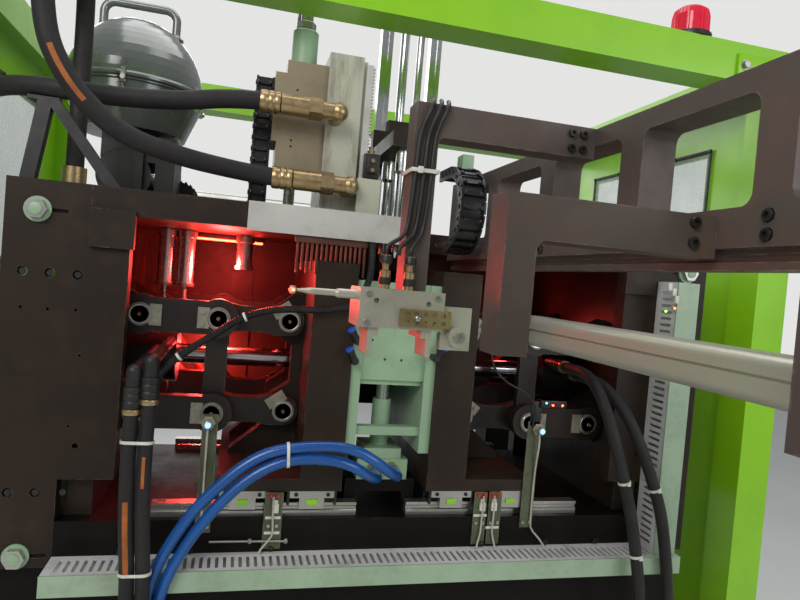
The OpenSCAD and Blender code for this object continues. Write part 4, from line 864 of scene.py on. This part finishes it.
# Guard bracket, and the base and ribs of the beacon
b = Batch("guard_bracket", green_m)
b.box(872, 1000, 19, 27.6, 2122, 2182, 1.5)
b.done()
b = Batch("guard_bracket_bolts", steel_m)
for x in (892, 980):
    b.turned([(13, 0), (13, 2)], (x, 19, 2152), to_front, 24)
    b.hexa((x, 17, 2152), to_front, 17, 8)
b.done()
b = Batch("beacon_base", black_m)
b.turned([(53, 0), (55, 2), (55, 12), (52.6, 14), (52.6, 0)], (beacon_x, beacon_y, guard_top_z),
         to_top, 48)
b.done()
b = Batch("beacon_ribs", red_m)
for i in range(30):
    a = math.tau * i / 30
    c, s = math.cos(a), math.sin(a)
    rib = ((47.2, 2227), (46.4, 2273), (42, 2288.5))
    b.tube([(beacon_x + r * c, beacon_y + r * s, z) for r, z in rib], 1.3, 8)
b.done()

# Bolts of the end frames, the fascia and the posts
b = Batch("frame_screws", black_m)
for s in (-1, 1):
    for x in (s * 779, s * 729, s * 678):
        for z in (1462, 1015):
            b.screw((x, 1.5, z), (0, 1, 0), 6.5, 2)
    for x in (250, 420, 560):
        b.screw((s * x, 0, 890), to_front, 7, 6)
    for z in (560, 700, 840):
        b.screw((s * 660, 0, z), to_front, 7, 6)
b.done()
b = Batch("bolt_washers", pale_green)
for x, z in ((758, 1587), (-758, 1587), (-756, 885)):
    b.turned([(22, -4.4), (25.5, -4.4), (25.5, 0), (22, 0)], (x, -4.4, z), to_front, 32)
    b.turned([(12, 19.2), (12, 20.4), (9, 21.4), (0, 21.4)], (x, 0, z), to_front, 24)
b.done()
b = Batch("strip_screws", steel_m)
for x in (-330, -150, 20):
    b.turned([(5, 0), (5, 1.4), (3.4, 2.6), (0, 2.8)], (x, 18, 1650), to_top, 16)
for x in (-398, -250, 239, 277, 362):
    for dx in (-9, 9):
        b.screw((x + dx, -5, 942), to_front, 4, 3.6)
b.done()

# Sensor leads from the bracket strips down into the lower duct, and one along to the lamps
for name, route in (
        ("lead_left", [(-402, -16, 1158), (-402, -20, 1140), (-402, -15, 1100), (-402, -9, 1050),
                       (-402, -9, 960), (-404, -9, 930), (-424, -12, 900), (-430, -16, 882.8)]),
        ("lead_right", [(372, -16, 1162), (372, -20, 1144), (372, -15, 1104), (372, -9, 1050),
                        (372, -9, 960), (374, -9, 930), (400, -12, 900), (412, -16, 882.8)]),
        ("lead_plate_a", [(-252, -9, 1008), (-252, -12, 990), (-250, -10, 950), (-250, -9, 920),
                          (-272, -12, 892), (-276, -16, 882.8)]),
        ("lead_plate_b", [(244, -9, 1008), (244, -12, 990), (243, -10, 950), (243, -9, 920),
                          (236, -12, 892), (234, -16, 882.8)]),
        ("lead_plate_c", [(272, -9, 1008), (272, -12, 990), (273, -10, 950), (273, -9, 920),
                          (280, -12, 892), (282, -16, 882.8)])):
    hose(name, route, 2.4, lead_m, n=8)
hose("lead_lamps", [(356, -8, 1178), (356, -14, 1205), (352, -18, 1232), (326, -18, 1261), (271, -18, 1288),
                    (237, -18, 1323), (225, -18, 1380), (222, -14, 1440), (222, -8, 1500), (222, -4, 1560),
                    (222, 6, top_plate_under)], 2.6, black_m, n=8, slot="pale_strip")
b = Batch("strip_lamps_body", black_m)
b.box(372, 442, -11, -5, 1226, 1244, 2)
b.box(350, 378, -5, -2, 1180, 1240, 0.8)
b.done()
b = Batch("strip_lamps_blue", blue_led)
b.turned([(2.6, 0), (2.6, 1.2), (0, 2.4)], (386, -11, 1238), to_front, 14)
b.done()
b = Batch("strip_lamps_red", red_led)
for x in (404, 430):
    b.turned([(2.4, 0), (2.4, 1.2), (0, 2.2)], (x, -11, 1233), to_front, 14)
b.done()
b = Batch("connector_blocks", tie_m)
for x in (-246, 243, 273):
    b.box(x - 7, x + 7, bracket_front - 7, bracket_front, 972, 992, 1.5)
    b.box(x - 5, x + 5, bracket_front - 5, bracket_front, 992, 1000, 1)
for x, z in ((-250, 960), (-250, 926), (240, 960), (274, 930)):
    b.box(x - 17, x + 17, bracket_front - 1.4, bracket_front, z - 3, z + 3, 0.5)
b.done()
# Red sensor tips, with the primer's painted glow
b = Batch("sensor_tips", red_paint_glow)
for x in (-258, -242, 232, 248, 268, 284):
    b.turned([(3.4, 0), (3.4, 7), (2.2, 9), (0, 9)], (x, bracket_front, 1010), to_front, 12)
b.done()
b = Batch("cross_rod", steel_m)
rod_y = -9
b.tube([(-382, rod_y, 910), (-300, rod_y, 909.4), (-214, rod_y, 908)], 2.4, 12)
b.hexa((-300, rod_y, 909.4), to_right, 10, 7)
b.hexa((-222, rod_y, 908.2), to_right, 10, 7)
b.done()

# End seals, plugs and screws of the linear carriages
for side, s in (("left", -1), ("right", 1)):
    seal = Batch(f"carriage_seals_{side}", black_m, f"clamp_{side}")
    grease = Batch(f"carriage_plugs_{side}", green_m, f"clamp_{side}")
    for x in (166, 318):
        for y, front in ((32, -1), (clamp_depth - 32, 1)):
            for e in (-1, 1):
                x0 = s * (x + e * 50)
                for y0, y1, z0, z1 in ((-29, 29, 1001.5, 1016.6), (-29, -15, 984, 1001.5),
                                       (15, 29, 984, 1001.5)):
                    seal.box(x0 - 0.1 * e * s, x0 + 6 * e * s, y + y0, y + y1, z0, z1, 1.5)
            grease.box(s * x - 12, s * x + 12, y + front * 30, y + front * 33, 986, 998, 1)
            for dx in (-36, 36):
                seal.screw((s * x + dx, y + front * 30, 1009), (0, front, 0), 4.4, 2.2)
    seal.done()
    grease.done()

# Guard window trim with its screws
b = Batch("window_seals", black_m)
for s in (-1, 1):
    x0, x1 = s * 1053.6, s * 1049.6
    for y0, y1, z0, z1 in ((306, 984, 1456, 1466), (306, 984, 1994, 2004), (306, 316, 1466, 1994),
                           (974, 984, 1466, 1994)):
        b.box(x0, x1, y0, y1, z0, z1, 1.5)
    for y in (311, 478, 645, 812, 979):
        for z in (1461, 1999):
            b.turned([(6, 0), (6, 1.5), (4, 3.2), (0, 3.4)], (x1, y, z), (-s, 0, 0), 16)
b.done()

# Hopper rim, clamps and handle feet
hx, hy, rim = -693, 600, 1989
b = Batch("hopper_rim", lid_m)
rim_profile = [(186, -3), (192, -6), (197, -3), (198, 3), (195, 9), (189, 11), (186, 8), (186, -3)]
b.turned(rim_profile, (hx, hy, rim), to_top, 96)
b.done()
b = Batch("hopper_clips", steel_m)
for k in range(6):
    a = math.radians(30 + 60 * k)
    c, s = math.cos(a), math.sin(a)
    b.box(hx + 200 * c - 9, hx + 200 * c + 9, hy + 200 * s - 6, hy + 200 * s + 6, rim - 26, rim + 14, 2,
          ((hx + 200 * c, hy + 200 * s, rim), "Z", math.degrees(a)))
    b.hexa((hx + 206 * c, hy + 206 * s, rim - 14), (c, s, 0), 13, 9)
b.done()
b = Batch("handle_feet", lid_m)
for s in (-1, 1):
    b.turned([(22, 0), (22, 5), (15, 9), (12.2, 16)], (hx + s * 99, hy, rim + 166), to_top, 32)
b.done()

# Boxes on the heater bands, and the motor's fins
b = Batch("barrel_band_boxes", black_m)
for y in (737, 837, 937):
    b.box(hx - 16, hx + 16, y - 11, y + 11, 1812.6, 1836, 2)
    b.box(hx - 84, hx - 77.6, y - 9, y + 9, 1722, 1748, 2)
b.done()
b = Batch("motor_fins", black_m)
motor_x, motor_z, motor_r = -562, 1712, 50
for i in range(20):
    a = math.tau * i / 20
    x, z = motor_x + motor_r * math.cos(a), motor_z + motor_r * math.sin(a)
    if z > 1668:
        b.tube([(x, 720, z), (x, 790, z), (x, 862, z)], 3.6, 6)
b.turned([(50, 0), (52, 4), (52, 22), (46, 26), (0, 26)], (motor_x, 880, motor_z), (0, 1, 0), 40)
b.done()

# Levelling feet: nut and thread
b = Batch("foot_nuts", steel_m)
for x in (-758, 758):
    for y in (100, 540, 1130):
        b.hexa((x, y, 42), to_top, 52, 16)
        for k in range(5):
            b.turned([(19.8, 0), (22, 1.6), (19.8, 3.2)], (x, y, 20 + k * 4), to_top, 24)
b.done()

# Floor, world and lights
bpy.ops.mesh.primitive_plane_add(size=40, location=(0, 0, 0))
floor = bpy.context.object
floor.name = "floor"
paint(floor, floor_m)

# The world gives a dim bluish light, and the camera sees it as pale grey
world = bpy.data.worlds.new("world")
bpy.context.scene.world = world
world.use_nodes = True
wn = world.node_tree
wn.nodes.clear()
w_out, w_bg, w_show, w_mix, w_path = [wn.nodes.new("ShaderNode" + kind) for kind in (
    "OutputWorld", "Background", "Background", "MixShader", "LightPath")]
w_bg.inputs[0].default_value = (0.92, 0.95, 1, 1)
w_bg.inputs[1].default_value = 0.32
w_show.inputs[0].default_value = (0.78, 0.78, 0.77, 1)
w_show.inputs[1].default_value = 1.0
wn.links.new(w_path.outputs["Is Camera Ray"], w_mix.inputs[0])
wn.links.new(w_bg.outputs[0], w_mix.inputs[1])
wn.links.new(w_show.outputs[0], w_mix.inputs[2])
wn.links.new(w_mix.outputs[0], w_out.inputs[0])


def light(name, kind, place, power, colour):
    data = bpy.data.lights.new(name, kind)
    data.energy = power
    data.color = colour
    obj = bpy.data.objects.new(name, data)
    obj.location = place
    bpy.context.collection.objects.link(obj)
    return obj


def area(name, place, target, size, power, colour=(1, 1, 1)):
    """A soft light that faces the target."""
    obj = light(name, "AREA", place, power, colour)
    obj.data.shape = "RECTANGLE"
    obj.data.size, obj.data.size_y = size
    obj.rotation_euler = (Vector(target) - Vector(place)).to_track_quat("-Z", "Y").to_euler()


area("key", (-2.2, -3.2, 3.6), (0, 0.2, 1.3), (2.4, 1.8), 84, (1, 0.98, 0.95))
area("fill", (2.6, -3.4, 2.4), (0, 0.2, 1.3), (2.2, 2.0), 42, (0.95, 0.98, 1))
area("top", (0, 0.6, 4.6), (0, 0.4, 1), (3, 3), 62)
area("back", (-1.5, 4.2, 3.2), (0, 0.6, 1.4), (2.5, 2.0), 42)


def red_lamp(name, place, power, size=0.04):
    """A small red lamp in or by the clamp."""
    light(name, "POINT", place, power, (1, 0.06, 0.05)).data.shadow_soft_size = size


red_lamp("red_left", (-0.4, 0.3, 1.5), 7)
red_lamp("red_middle", (-0.43, 0.5, 1.25), 7)
red_lamp("red_right", (0.45, 0.45, 1.4), 1.4)
red_lamp("red_nozzle", (-0.3, -0.49, 1.478), 0.12, 0.01)

bpy.context.scene.view_settings.view_transform = "Standard"
